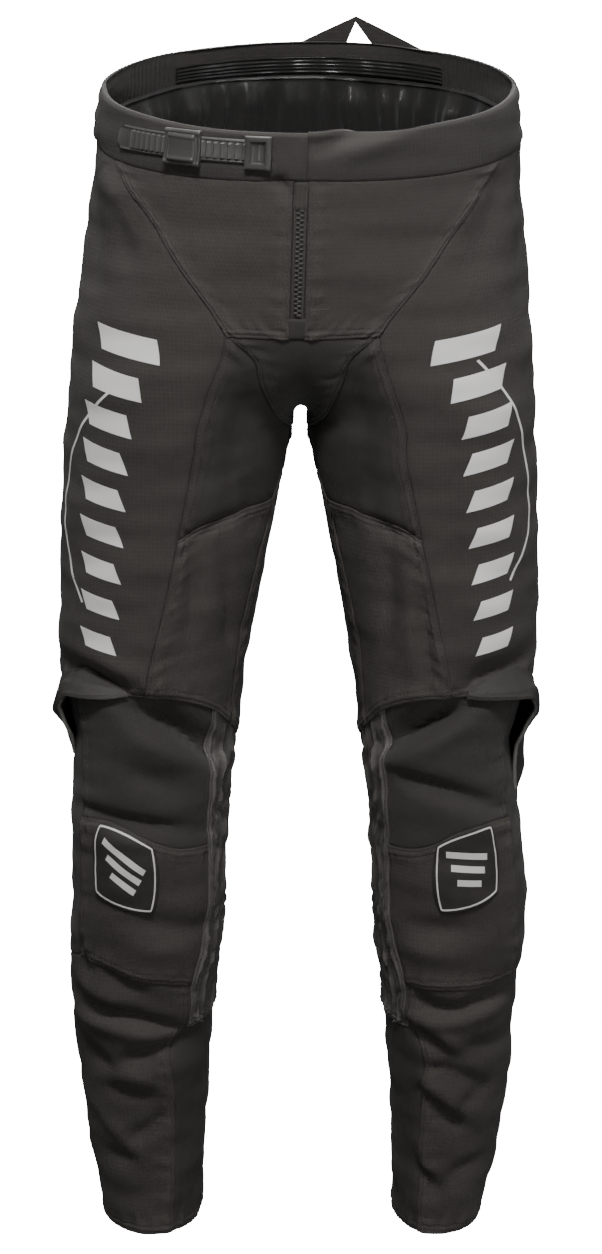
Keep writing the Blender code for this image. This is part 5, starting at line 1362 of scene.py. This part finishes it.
def middle_strip(top, bottom, edges, cells):
    """Surface of a strip down the front, out to its edge on each side. Cells are the counts
    across one side and down."""
    patches = {}
    down = np.linspace(0.0, 1.0, cells[1] + 1)
    across = np.linspace(0.0, 1.0, cells[0] + 1)[None, :, None]
    for side in (RIGHT, LEFT):
        edge = middle_seam(side, top, bottom, -1, edges[side])(down)[:, None]
        middle = middle_seam(side, top, bottom, -1)(down)[:, None]
        patches[side] = (1 - across) * edge + across * middle
    return whole_surface(patches)


def corded(distances, points):
    """A cord along each edge of the tape."""
    insets = [(distances[edge] - CORD_INSET) / CORD_WIDTH for edge in (2, 3)]
    return sum(CORD_RISE * np.exp(-(inset**2)) for inset in insets)


sew_panel(
    "zip_tape_cloth", middle_strip(TAPE_TOP, FLY_BOTTOM, ZIP_EDGES, TAPE_CELLS),
    ("open",) * 4, tape, "tape", "zip_tape",
    wall=TAPE_WALL, off=TAPE_OFF, relief=corded, held="laid",
)
sew_panel(
    "zip_stop_cloth", middle_strip(TEETH_TO, FLY_BOTTOM, STOP_EDGES, PATCH_CELLS),
    ("open",) * 4, smooth, "smooth_cloth", "zip_stop", wall=STOP_WALL, off=STOP_OFF, held="laid",
)
sew_panel(
    "fly_flap_cloth", middle_strip(TAPE_TOP, FLAP_BOTTOM, FLAP_EDGES, PATCH_CELLS),
    ("open", "under", "open", "open"), ripstop, "woven_cloth", "zip_tape",
    wall=FLAP_WALL, off=FLAP_OFF, held="laid",
)


def rounded_box(half_sizes, bevel):
    """Corners and faces of a small box with chamfered upright edges, closed at both ends."""
    a, b, c = half_sizes
    ring = [(a, b - bevel), (a - bevel, b), (bevel - a, b), (-a, b - bevel), (-a, bevel - b),
            (bevel - a, -b), (a - bevel, -b), (a, bevel - b)]
    points = np.array([(x, y, z) for z in (-c, c) for x, y in ring])
    faces = [[i, (i + 1) % 8, (i + 1) % 8 + 8, i + 8] for i in range(8)]
    return points, faces, [list(range(7, -1, -1)), list(range(8, 16))]


# Angle of the hard edges of small moulded forms, in degrees
FORM_SHARP = 40


def repeated_mesh(name, points, quads, caps, origins, axes):
    """Copies of one small closed form. Axes are the three directions of each copy."""
    placed = origins[:, None] + np.einsum("pk,nkj->npj", points, axes)
    firsts = (np.arange(len(origins)) * len(points))[:, None, None]
    starts, loops, place = [], [], 0
    for faces in [quads] + [[cap] for cap in caps]:
        block = np.array(faces)[None] + firsts
        size = block.shape[-1]
        starts.append(place + size * np.arange(block.size // size))
        loops.append(block.ravel())
        place += block.size
    mesh = fill_mesh(name, placed.reshape(-1, 3), np.concatenate(loops), np.concatenate(starts))
    return smooth_mesh(mesh, FORM_SHARP)


def surface_frames(side, z, turn, off):
    """Places on the cloth, and their directions along the turn, up and out."""
    here = cloth_point(side, z, turn)
    later, above = cloth_point(side, z, turn + 0.3), cloth_point(side, z + 0.0008, turn)
    along, up = unit(later - here), unit(above - here)
    out = unit(np.cross(along, up)) * side
    along = unit(np.cross(up, out))
    return here + off * out, np.stack((along, up, out), axis=1)


# Black plastic: its light colour, reached through the rub mark where a part stands proud, is a painted
# highlight on the strap's tooth tips and raised frames
moulded = finish_from(
    "black plastic", (0.050, 0.0480, 0.046), (0.110, 0.1060, 0.102), (0.38, 0.24),
    cloudy(700.0), relief_depth=0.00006,
)
count = int((TEETH_FROM - TEETH_TO) / TOOTH_PITCH)
tooth_z = TEETH_FROM - TOOTH_PITCH * np.arange(count)
tooth_side = np.where(np.arange(count) % 2 == 0, 1.0, -1.0)
tooth_x = ring_value(tooth_z, "lean") + TOOTH_MIDDLE + TOOTH_SHIFT * tooth_side
tooth_y = ring_value(tooth_z, "front") - TOOTH_OFF
origins = np.stack((tooth_x, tooth_y, tooth_z), axis=-1)
axes = np.broadcast_to(np.array(((1.0, 0, 0), (0, 0, 1.0), (0, -1.0, 0))), (count, 3, 3))
teeth = repeated_mesh("zip_teeth", *rounded_box(TOOTH_HALF, TOOTH_BEVEL), origins, axes)
add_piece("zip_teeth", teeth, moulded, "black_plastic")


# Ratchet fastening: a toothed plastic strap on a sewn base, which runs through a buckle with
# a lever to release it, and through a keeper. Each is moulded, with its own relief.
STRAP_HEIGHT, STRAP_SLOPE, BAND_DEGREE = -0.0292, 0.00006, 0.0021
STRAP_CORNER = 0.0015
STRAP_TOOTH_PITCH, STRAP_TOOTH_RISE, STRAP_TOOTH_POWER, STRAP_SINK = 0.0042, 0.0026, 1.4, 0.0008
# Half height of the teeth, and the plain length of the strap's tip
STRAP_TOOTH_HALF, STRAP_TIP = 0.0072, 0.014
KEEPER_HALF, KEEPER_SINK, KEEPER_FRAME = 0.0132, 0.0022, (0.0030, 0.0036)


def strap_part(
    name, start, end, half_height, clearance, wall, relief, material, slot, cell=0.0007, shape=None
):
    """A part along the strap's path: a plate with rounded corners, whose outer face stands
    proud by relief, a function of the places along and across it in metres."""
    length = abs(end - start) * BAND_DEGREE
    along, across = even_shares(length, cell), even_shares(2 * half_height, cell)
    along_grid, across_grid = np.meshgrid(along, across)
    place_x, place_y = along_grid * length, (0.5 - across_grid) * 2 * half_height
    if shape is not None:
        place_y = place_y * shape(place_x, length)
    turns = start + (end - start) * along_grid
    heights = STRAP_HEIGHT + STRAP_SLOPE * turns + place_y
    points, _, outward = half_surface(RIGHT, np.stack((heights, turns), axis=-1))
    normals = grid_normals(points, outward)
    edge = np.minimum.reduce((place_x, length - place_x, half_height - np.abs(place_y)))
    roll = -STRAP_CORNER * 0.5 * np.clip(1.0 - edge / STRAP_CORNER, 0.0, 1.0) ** 2
    rise = relief(place_x, place_y, length) + roll
    outer = points + (clearance + wall + rise)[..., None] * normals
    inner = points + clearance * normals
    grain = np.stack((place_x, place_y), axis=-1)
    mesh = wall_mesh(f"{name}_detail", outer, inner, grain, rise)
    add_piece(f"{name}_detail", mesh, material, slot, name)


def even_shares(length, cell):
    """Even shares of a length, in steps of about one cell."""
    return np.linspace(0.0, 1.0, max(4, round(length / cell)) + 1)


def flat_form(place_x, place_y, length):
    """A plain plate."""
    return 0.0 * place_x


def pointed(place_x, length):
    """Share of the full height left at the strap's pointed tip."""
    return np.clip(0.35 + place_x / 0.010, 0.35, 1.0)


def toothed(place_x, place_y, length):
    """Saw teeth across the strap, steep on one side, between two smooth rails."""
    saw = (place_x / STRAP_TOOTH_PITCH) % 1.0
    inside = np.clip((STRAP_TOOTH_HALF - np.abs(place_y)) / 0.0008, 0.0, 1.0)
    begin = np.clip((place_x - STRAP_TIP) / 0.002, 0.0, 1.0)
    rail = np.exp(-(((np.abs(place_y) - 0.0086) / 0.0008) ** 2))
    # The teeth's rise also lightens their tips through the rub mark: a painted highlight
    teeth = STRAP_TOOTH_RISE * (1.0 - saw) ** STRAP_TOOTH_POWER * inside * begin
    return teeth + 0.0007 * rail - STRAP_SINK


def buckle_form(place_x, place_y, length):
    """Two raised side frames, with a sunken bed between them for the lever."""
    side_frame = np.clip((np.abs(place_x - length / 2) - length * 0.33) / 0.0012, 0.0, 1.0)
    rail = np.exp(-(((np.abs(place_y) - 0.0122) / 0.0014) ** 2))
    groove = np.exp(-(((np.abs(place_x - length / 2) - length * 0.41) / 0.0007) ** 2))
    return 0.0012 * side_frame + 0.0009 * rail - 0.0009 * groove - 0.0006


def lever_form(place_x, place_y, length):
    """A smooth plate that swells in its middle and turns up at its lower lip."""
    share = np.clip(np.abs(place_x / length - 0.5) * 2.0, 0.0, 1.0)
    lip = np.exp(-(((place_y + 0.0096) / 0.0012) ** 2))
    pin = np.exp(-(((place_y - 0.0090) / 0.0010) ** 2))
    return 0.0006 * (1.0 - share**2) + 0.0008 * lip + 0.0007 * pin


def keeper_form(place_x, place_y, length):
    """A frame with a bar at each end and a window between them."""
    inside_x = np.minimum(place_x, length - place_x) - KEEPER_FRAME[0]
    inside_y = KEEPER_HALF - np.abs(place_y) - KEEPER_FRAME[1]
    window = np.clip(np.minimum(inside_x, inside_y) / 0.0008, 0.0, 1.0)
    return -KEEPER_SINK * window


# Columns: name, turns of the two ends, half height, clearance, wall and relief
MOULDED_PARTS = (
    ("ratchet_buckle", -50.0, -61.0, 0.0140, 0.0038, 0.0036, buckle_form),
    ("ratchet_lever", -51.4, -59.6, 0.0112, 0.0077, 0.0014, lever_form),
    ("strap_keeper", -73.2, -80.0, KEEPER_HALF, 0.0038, 0.0028, keeper_form),
)
strap_part(
    "strap_base", -31.0, -81.4, 0.0085, 0.0004, 0.0012, flat_form, band_cloth, "tape", cell=0.0025
)
strap_part(
    "toothed_strap", -28.6, -78.0, 0.0098, 0.0019, 0.0016, toothed, moulded, "black_plastic",
    shape=pointed,
)
for moulded_part in MOULDED_PARTS:
    strap_part(*moulded_part, moulded, "black_plastic")


# Hanging loop: a folded tape behind the waistband. Its solid has the right shape, so it stays
# and gets the tape's weave, on the places of the object.
def plain_weave_on_object(tree):
    """Weave along the object's width and height."""
    x, _, z = add_node(tree, "ShaderNodeSeparateXYZ", {0: object_place(tree)}).outputs
    place = add_node(tree, "ShaderNodeCombineXYZ", {0: x, 1: z}).outputs[0]
    cloth = {"Place": place, "Thread": 0.0011, "Grid": 0.0033}
    node = add_node(tree, "ShaderNodeGroup", cloth, node_tree=WEAVE)
    return node.outputs["Height"], node.outputs["Shade"]


loop_tape = finish_from(
    "loop tape", (0.028, 0.0255, 0.0235), (0.064, 0.0580, 0.0530), (0.82, 0.68),
    plain_weave_on_object,
)
for material_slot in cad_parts["hanging_loop"].material_slots:
    material_slot.material = loop_tape


# Knee hoods: a stiff folded band of dark leather that stands off the outer side of each knee.
# It is sewn to the thigh along its root, and a binding closes the edge of its open mouth
# over the knee's side. The binding's pale colour is a painted highlight of that lit edge.
hood_leather = finish_from(
    "hood leather", (0.030, 0.0280, 0.0262), (0.085, 0.0795, 0.0740), (0.50, 0.32),
    grained(0.0012), relief_depth=0.00018,
)
# Pale colour of the binding: a painted highlight along the lit edge of the hood's mouth
binding_painted_highlight = finish_from(
    "hood binding painted highlight", (0.130, 0.126, 0.118), (0.300, 0.292, 0.275), (0.60, 0.45),
    grained(0.0009), relief_depth=0.00010,
)
# Height, turn and stand-off of the mouth and the crest, then height and turn of the root, from
# the front tip to the lower end
HOOD_ROWS = {
    RIGHT: np.array((
        (-0.4895, -77, 0.0008, -0.4865, -76, 0.0008, -0.4840, -75),
        (-0.4910, -60, 0.0040, -0.4840, -58, 0.0034, -0.4740, -58),
        (-0.4930, -38, 0.0085, -0.4850, -30, 0.0060, -0.4690, -42),
        (-0.5060, -26, 0.0102, -0.5190, -8, 0.0148, -0.4950, -2),
        (-0.5280, -23, 0.0058, -0.5300, -4, 0.0105, -0.5200, 26),
        (-0.5430, -20, 0.0012, -0.5445, -3, 0.0046, -0.5580, 22),
        (-0.5540, -16, -0.0014, -0.5570, -8, -0.0014, -0.5700, 6),
    )),
    LEFT: np.array((
        (-0.4895, -77, 0.0011, -0.4865, -76, 0.0011, -0.4840, -75),
        (-0.4910, -60, 0.0062, -0.4840, -58, 0.0053, -0.4740, -58),
        (-0.4930, -38, 0.0132, -0.4850, -30, 0.0102, -0.4690, -42),
        (-0.5060, -27, 0.0138, -0.5190, -8, 0.0168, -0.4960, -2),
        (-0.5360, -24, 0.0082, -0.5350, -3, 0.0124, -0.5290, 26),
        (-0.5680, -19, 0.0000, -0.5720, -3, 0.0088, -0.5900, 22),
        (-0.5860, -16, -0.0016, -0.5900, -8, -0.0012, -0.6080, 6),
    )),
}
# The binding starts at this share of the mouth, and grows to its full radius over some steps
HOOD_BINDING_FROM, HOOD_BINDING_RADIUS, HOOD_BINDING_STEPS = 0.40, 0.0016, 8
TUBE_SEAM_ANGLE, TUBE_ANGLES = 0.04, 9
HOOD_WALL, HOOD_ROOT_OFF = 0.0020, -0.0004
# Below this row the root lies on the knee's cloth, which is sunk under the hem
HOOD_SUNK_ROW, HOOD_ROOT_SINK = 3, 0.0045
HOOD_ALONG, HOOD_ACROSS, HOOD_AVERAGING_ROUNDS = 72, 12, 2
# Height, place and width of the raised edge along the mouth, and depth and width of its roll
HOOD_EDGE, HOOD_ROLL = (0.0004, 0.0035, 0.0012), (0.0003, 0.0008)
HOOD_UNEVENNESS = 0.0003


def hood_surface(side):
    """Ruled strips from the mouth to the crest and from the crest to the root, with the fold
    between them rounded by averaging the rows next to it."""
    rows = HOOD_ROWS[side]
    index = np.arange(len(rows), dtype=float)
    places = np.linspace(0.0, index[-1], HOOD_ALONG + 1)
    curves, out = [], []
    for column in (0, 3, 6):
        z = np.interp(places, index, rows[:, column])
        turn = np.interp(places, index, rows[:, column + 1])
        off = HOOD_ROOT_OFF - HOOD_ROOT_SINK * np.clip(places - HOOD_SUNK_ROW, 0.0, 1.0)
        if column < 6:
            off = np.interp(places, index, rows[:, column + 2])
        places_on_cloth, frames = surface_frames(side, z, turn, 0.0)
        curves.append(places_on_cloth + (off + HOOD_WALL)[:, None] * frames[:, 2])
        out.append(frames[:, 2])
    share = np.linspace(0.0, 1.0, HOOD_ACROSS + 1)[:, None, None]
    lower = (1 - share) * curves[0] + share * curves[1]
    upper = (1 - share) * curves[1] + share * curves[2]
    points = np.concatenate((lower, upper[1:]))
    for _ in range(HOOD_AVERAGING_ROUNDS):
        points[1:-1] = (points[:-2] + 2 * points[1:-1] + points[2:]) / 4
    for _ in range(HOOD_AVERAGING_ROUNDS):
        points[:, 1:-1] = (points[:, :-2] + 2 * points[:, 1:-1] + points[:, 2:]) / 4
    outward = np.broadcast_to(np.mean(out, axis=0), points.shape)
    return points, outward


def tube_halves(path, radius, outward):
    """Two halves of a tube round a path: path + radius * (cos a * out +- sin a * aside)."""
    along = unit(np.gradient(path, axis=0))
    aside = unit(np.cross(along, outward))
    out = unit(np.cross(aside, along))
    angles = np.linspace(TUBE_SEAM_ANGLE, math.pi - TUBE_SEAM_ANGLE, TUBE_ANGLES)[None, :, None]
    spread = radius[:, None, None]
    middle = path[:, None] + spread * np.cos(angles) * out[:, None]
    return tuple(middle + sign * spread * np.sin(angles) * aside[:, None] for sign in (1, -1))


for side in (RIGHT, LEFT):
    name = SIDE_NAMES[side]
    points, outward = hood_surface(side)
    first = round(HOOD_BINDING_FROM * HOOD_ALONG)
    mouth = points[0, first:]
    radius = HOOD_BINDING_RADIUS * np.clip(np.arange(len(mouth)) / HOOD_BINDING_STEPS, 0.3, 1.0)
    halves = tube_halves(mouth, radius, outward[0, first:])
    grain = np.stack((lengths_along(halves[0], 1), lengths_along(halves[0], 0)), axis=-1)
    mesh = wall_mesh(f"{name}_hood_binding_highlight", *halves, grain, np.zeros(grain.shape[:2]))
    add_piece(f"{name}_hood_binding_highlight", mesh, binding_painted_highlight, "guard_leather")
    normals = grid_normals(points, outward)
    down, across = lengths_along(points, 0), lengths_along(points, 1)
    edge = HOOD_EDGE[0] * np.exp(-(((down - HOOD_EDGE[1]) / HOOD_EDGE[2]) ** 2))
    rise = edge - HOOD_ROLL[0] * np.exp(-((down / HOOD_ROLL[1]) ** 2))
    rise = rise + HOOD_UNEVENNESS * np.sin(across * 190.0) * np.sin(down * 80.0)
    outer, inner = points + rise[..., None] * normals, points - HOOD_WALL * normals
    grain = np.stack((across, down), axis=-1)
    mesh = wall_mesh(f"{name}_knee_hood_leather", outer, inner, grain, rise)
    add_piece(f"{name}_knee_hood_leather", mesh, hood_leather, "guard_leather", f"{name}_knee_hood")
    distances = (down, down[-1:] - down, across, across[:, -1:] - across)
    PANELS[f"{name}_knee_hood_leather"] = (outer, normals, distances, ("rim", "root", "open", "open"))


# Knee badges: soft moulded rubber patches bonded over the pad of each knee, with a printed
# outline and three slanted bars.
BADGE_CENTRE = {RIGHT: (-0.640, -75), LEFT: (-0.639, -78)}
BADGE_HALF_WIDTH, BADGE_HALF_HEIGHT = 0.036, 0.036
BADGE_CORNER_ROUNDING, BADGE_SLANT = 0.17, 0.25
BADGE_WALL, BADGE_STEPS = 0.0009, 61
# Rise, place and width of the badge's raised rim, and the drop and width of its roll
BADGE_RIM, BADGE_ROLL = (0.0004, 0.06, 0.03), (0.0006, 0.03)
OUTLINE_SHARE, OUTLINE_WIDTH, OUTLINE_STEPS = 0.88, 0.0015, 31
INK_WALL, BADGE_INK_OFF = 0.00022, 2 * BADGE_WALL + 0.0001
# Middle and half length of each bar, as shares of the badge's half height and half width
BADGE_BARS = ((0.36, 0.60), (0.02, 0.48), (-0.32, 0.34))
BADGE_BAR_WIDTH, BADGE_BAR_SLOPE, BADGE_BAR_STEPS = 0.0058, 0.35, 25

badge_rubber = finish_from(
    "badge rubber", (0.026, 0.0235, 0.0215), (0.062, 0.0560, 0.0510), (0.58, 0.40),
    grained(0.0007), relief_depth=0.00010,
)
badge_ink = finish_from(
    "badge ink", (0.72, 0.70, 0.68), (0.90, 0.88, 0.86), (0.60, 0.45),
    grained(0.0007), relief_depth=0.00005,
)


def badge_place(side, across, up):
    """Heights and turns of a badge at places from -1 to 1 across and up, with rounded corners:
    both places shrink by the corner rounding times across ** 2 * up ** 2."""
    z_middle, turn_middle = BADGE_CENTRE[side]
    draw_in = 1.0 - BADGE_CORNER_ROUNDING * across**2 * up**2
    x = BADGE_HALF_WIDTH * across * draw_in
    z = BADGE_HALF_HEIGHT * up * draw_in + BADGE_SLANT * x
    return np.stack((z_middle + z, turn_middle + x / LEG_DEGREE), axis=-1)


def ink_film(name, side, patch, off, material, slot):
    """A film of ink over a grid of heights and turns, which stands off the cloth."""
    points, _, outward = half_surface(side, patch)
    normals = grid_normals(points, outward)
    grain = np.stack((lengths_along(points, 1), lengths_along(points, 0)), axis=-1)
    outer, inner = points + (off + INK_WALL) * normals, points + off * normals
    mesh = wall_mesh(name, outer, inner, grain, np.zeros(grain.shape[:2]))
    add_piece(name, mesh, material, slot)


def ribbon(path, width):
    """Grid of a stripe along a path of heights and turns: three columns across its width."""
    metres = path * (1.0, LEG_DEGREE)
    way = unit(np.gradient(metres, axis=0))
    aside = np.stack((way[:, 1], -way[:, 0]), axis=-1)[:, None]
    shares = np.array((-0.5, 0.0, 0.5))[None, :, None]
    return (metres[:, None] + shares * width * aside) / (1.0, LEG_DEGREE)


for side in (RIGHT, LEFT):
    name = SIDE_NAMES[side]
    steps = np.linspace(-1.0, 1.0, BADGE_STEPS)
    across, up = np.meshgrid(steps, -steps)
    points, _, outward = half_surface(side, badge_place(side, across, up))
    normals = grid_normals(points, outward)
    edge = 1.0 - np.maximum(np.abs(across), np.abs(up))
    rim = BADGE_RIM[0] * np.exp(-(((edge - BADGE_RIM[1]) / BADGE_RIM[2]) ** 2))
    rise = rim - BADGE_ROLL[0] * np.exp(-((edge / BADGE_ROLL[1]) ** 2))
    grain = np.stack((lengths_along(points, 1), lengths_along(points, 0)), axis=-1)
    outer = points + (2 * BADGE_WALL + rise)[..., None] * normals
    inner = points + 0.5 * BADGE_WALL * normals
    mesh = wall_mesh(f"{name}_knee_badge_skin", outer, inner, grain, rise)
    add_piece(f"{name}_knee_badge_skin", mesh, badge_rubber, "badge_rubber", f"{name}_knee_badge")
    run = np.linspace(-OUTLINE_SHARE, OUTLINE_SHARE, OUTLINE_STEPS)
    end = np.full_like(run, OUTLINE_SHARE)
    marks = []
    for number, line in enumerate(((run, end), (end, -run), (-run, -end), (-end, run))):
        marks.append((f"line_{number + 1}", badge_place(side, *line), OUTLINE_WIDTH))
    for number, (middle, half_length) in enumerate(BADGE_BARS):
        run = np.linspace(-half_length, half_length, BADGE_BAR_STEPS)
        path = badge_place(side, run, middle - side * BADGE_BAR_SLOPE * run)
        marks.append((f"bar_{number + 1}", path, BADGE_BAR_WIDTH))
    for mark, path, width in marks:
        ink_film(
            f"{name}_badge_{mark}", side, ribbon(path, width), BADGE_INK_OFF, badge_ink, "badge_rubber"
        )


# Thigh prints: a film of light-grey ink on the front of each thigh, in a plain rhythm of
# slanted bars that grow smaller down the leg, beside a thin curved line.
PRINT_OFF = 0.00012
# The middle of the first and of the last bar, as heights and turns
PRINT_PATHS = {RIGHT: ((-0.192, -52), (-0.442, -58)), LEFT: ((-0.192, -57), (-0.442, -61))}
PRINT_BARS = 9
PRINT_BAR_WIDTH, PRINT_BAR_LENGTHS = (0.0200, 0.0155), (0.043, 0.031)
PRINT_SLANT, PRINT_LEAN = 0.16, 0.45
PRINT_LINES = {
    RIGHT: ((-0.225, -55), (-0.275, -33), (-0.335, -23), (-0.375, -29), (-0.412, -45)),
    LEFT: ((-0.204, -55), (-0.240, -43), (-0.290, -33), (-0.347, -30), (-0.392, -49)),
}
PRINT_LINE_WIDTH, PRINT_LINE_STEPS = 0.0022, 121
PRINT_BAR_STEPS_ALONG, PRINT_BAR_STEPS_UP = 25, 9

print_ink = finish_from(
    "thigh print", (0.90, 0.88, 0.86), (0.97, 0.95, 0.93), (0.62, 0.48),
    woven(0.0006, 0.0036, 0.4), relief_depth=0.00008,
)
bar_along, bar_up = np.meshgrid(
    np.linspace(-0.5, 0.5, PRINT_BAR_STEPS_ALONG), np.linspace(0.5, -0.5, PRINT_BAR_STEPS_UP)
)
for side in (RIGHT, LEFT):
    name = SIDE_NAMES[side]
    (z_first, turn_first), (z_last, turn_last) = PRINT_PATHS[side]
    for number in range(PRINT_BARS):
        share = number / (PRINT_BARS - 1)
        z_middle = z_first + (z_last - z_first) * share
        turn_middle = turn_first + (turn_last - turn_first) * share
        length = PRINT_BAR_LENGTHS[0] + (PRINT_BAR_LENGTHS[1] - PRINT_BAR_LENGTHS[0]) * share
        width = PRINT_BAR_WIDTH[0] + (PRINT_BAR_WIDTH[1] - PRINT_BAR_WIDTH[0]) * share
        turns = turn_middle + (bar_along * length + PRINT_LEAN * bar_up * width) / LEG_DEGREE
        heights = z_middle + bar_up * width + PRINT_SLANT * bar_along * length
        bar = np.stack((heights, turns), axis=-1)
        ink_film(f"{name}_thigh_bar_{number + 1}", side, bar, PRINT_OFF, print_ink, "woven_cloth")
    path = seam(PRINT_LINES[side])(np.linspace(0.0, 1.0, PRINT_LINE_STEPS))
    line = ribbon(path, PRINT_LINE_WIDTH)
    ink_film(f"{name}_thigh_line", side, line, PRINT_OFF, print_ink, "woven_cloth")


# Stitching: rows of thick thread along the seams that are sewn down, two to a seam on the
# cloth and one along each edge of the hoods.
STITCH_PITCH, STITCH_LENGTH = 0.0034, 0.0024
THREAD_RADIUS, THREAD_SIDES = 0.00034, 5
# Place along the stitch, size and lift of each ring of the thread, as shares
THREAD_RINGS = ((-0.5, 0.35, -0.9), (-0.22, 1.0, 0.45), (0.22, 1.0, 0.45), (0.5, 0.35, -0.9))
# Length at each end of a row without stitches, and where the upper rows end
ROW_TRIM, UPPER_ROWS_ABOVE = 0.0015, -0.48
# Which rows of stitches each kind of edge has
SEWN_ROWS = {"over": STITCH_ROWS, "hem": STITCH_ROWS, "rim": (0.0035,), "root": (0.0030,)}

thread = finish_from(
    "thread", (0.048, 0.044, 0.040), (0.130, 0.120, 0.110), (0.70, 0.55),
    cloudy(1500.0), relief_depth=0.00005,
)


def turned_to(grid, edge):
    """The grid with one of its edges (0 top, 1 bottom, 2 start, 3 end) as its first row."""
    if edge >= 2:
        grid = np.swapaxes(grid, 0, 1)
    return grid[::-1] if edge % 2 else grid


def row_along(panel, edge, inset):
    """Points and normals of the line at one distance from an edge."""
    outer, normals, distances, _ = panel
    distance = turned_to(distances[edge], edge)
    outer, normals = turned_to(outer, edge), turned_to(normals, edge)
    above = np.clip((distance < inset).sum(axis=0) - 1, 0, len(distance) - 2)
    columns = np.arange(distance.shape[1])
    low, high = distance[above, columns], distance[above + 1, columns]
    share = np.clip((inset - low) / np.maximum(high - low, 1e-9), 0.0, 1.0)[:, None]
    return [
        (1 - share) * grid[above, columns] + share * grid[above + 1, columns]
        for grid in (outer, normals)
    ]


def stitches_on(points, normals):
    """Places and directions of the stitches of one row."""
    lengths = np.concatenate(((0.0,), np.cumsum(np.linalg.norm(np.diff(points, axis=0), axis=1))))

    def at(places, vectors):
        return np.stack([np.interp(places, lengths, vectors[:, axis]) for axis in range(3)], axis=-1)

    starts = np.arange(ROW_TRIM, lengths[-1] - ROW_TRIM - STITCH_LENGTH, STITCH_PITCH)
    first, last = at(starts, points), at(starts + STITCH_LENGTH, points)
    out, along = unit(at(starts, normals)), unit(last - first)
    out = unit(out - np.sum(out * along, axis=-1, keepdims=True) * along)
    return (first + last) / 2, np.stack((along, np.cross(out, along), out), axis=1)


def stitch_form():
    """One stitch: a thread of five sides that rises from the cloth and dips back into it."""
    angles = np.arange(THREAD_SIDES) / THREAD_SIDES * math.tau
    points = np.array([
        (share * STITCH_LENGTH, THREAD_RADIUS * size * math.cos(angle),
         THREAD_RADIUS * (rise + size * math.sin(angle)))
        for share, size, rise in THREAD_RINGS for angle in angles
    ])
    sides = np.arange(THREAD_SIDES)
    later = (sides + 1) % THREAD_SIDES
    strip = np.stack((later, later + THREAD_SIDES, sides + THREAD_SIDES, sides), axis=-1)
    quads = np.concatenate([strip + THREAD_SIDES * ring for ring in range(len(THREAD_RINGS) - 1)])
    last_ring = THREAD_SIDES * (len(THREAD_RINGS) - 1)
    return points, quads, [sides, sides[::-1] + last_ring]


stitched = {"upper": [], "lower": []}
for panel in PANELS.values():
    for edge, kind in enumerate(panel[3]):
        for inset in SEWN_ROWS.get(kind, ()):
            points, normals = row_along(panel, edge, inset)
            half = "upper" if float(points[:, 2].mean()) > UPPER_ROWS_ABOVE else "lower"
            stitched[half].append(stitches_on(points, normals))
for half, rows in stitched.items():
    origins = np.concatenate([row[0] for row in rows])
    axes = np.concatenate([row[1] for row in rows])
    mesh = repeated_mesh(f"{half}_stitching", *stitch_form(), origins, axes)
    add_piece(f"{half}_stitching", mesh, thread, "tape")
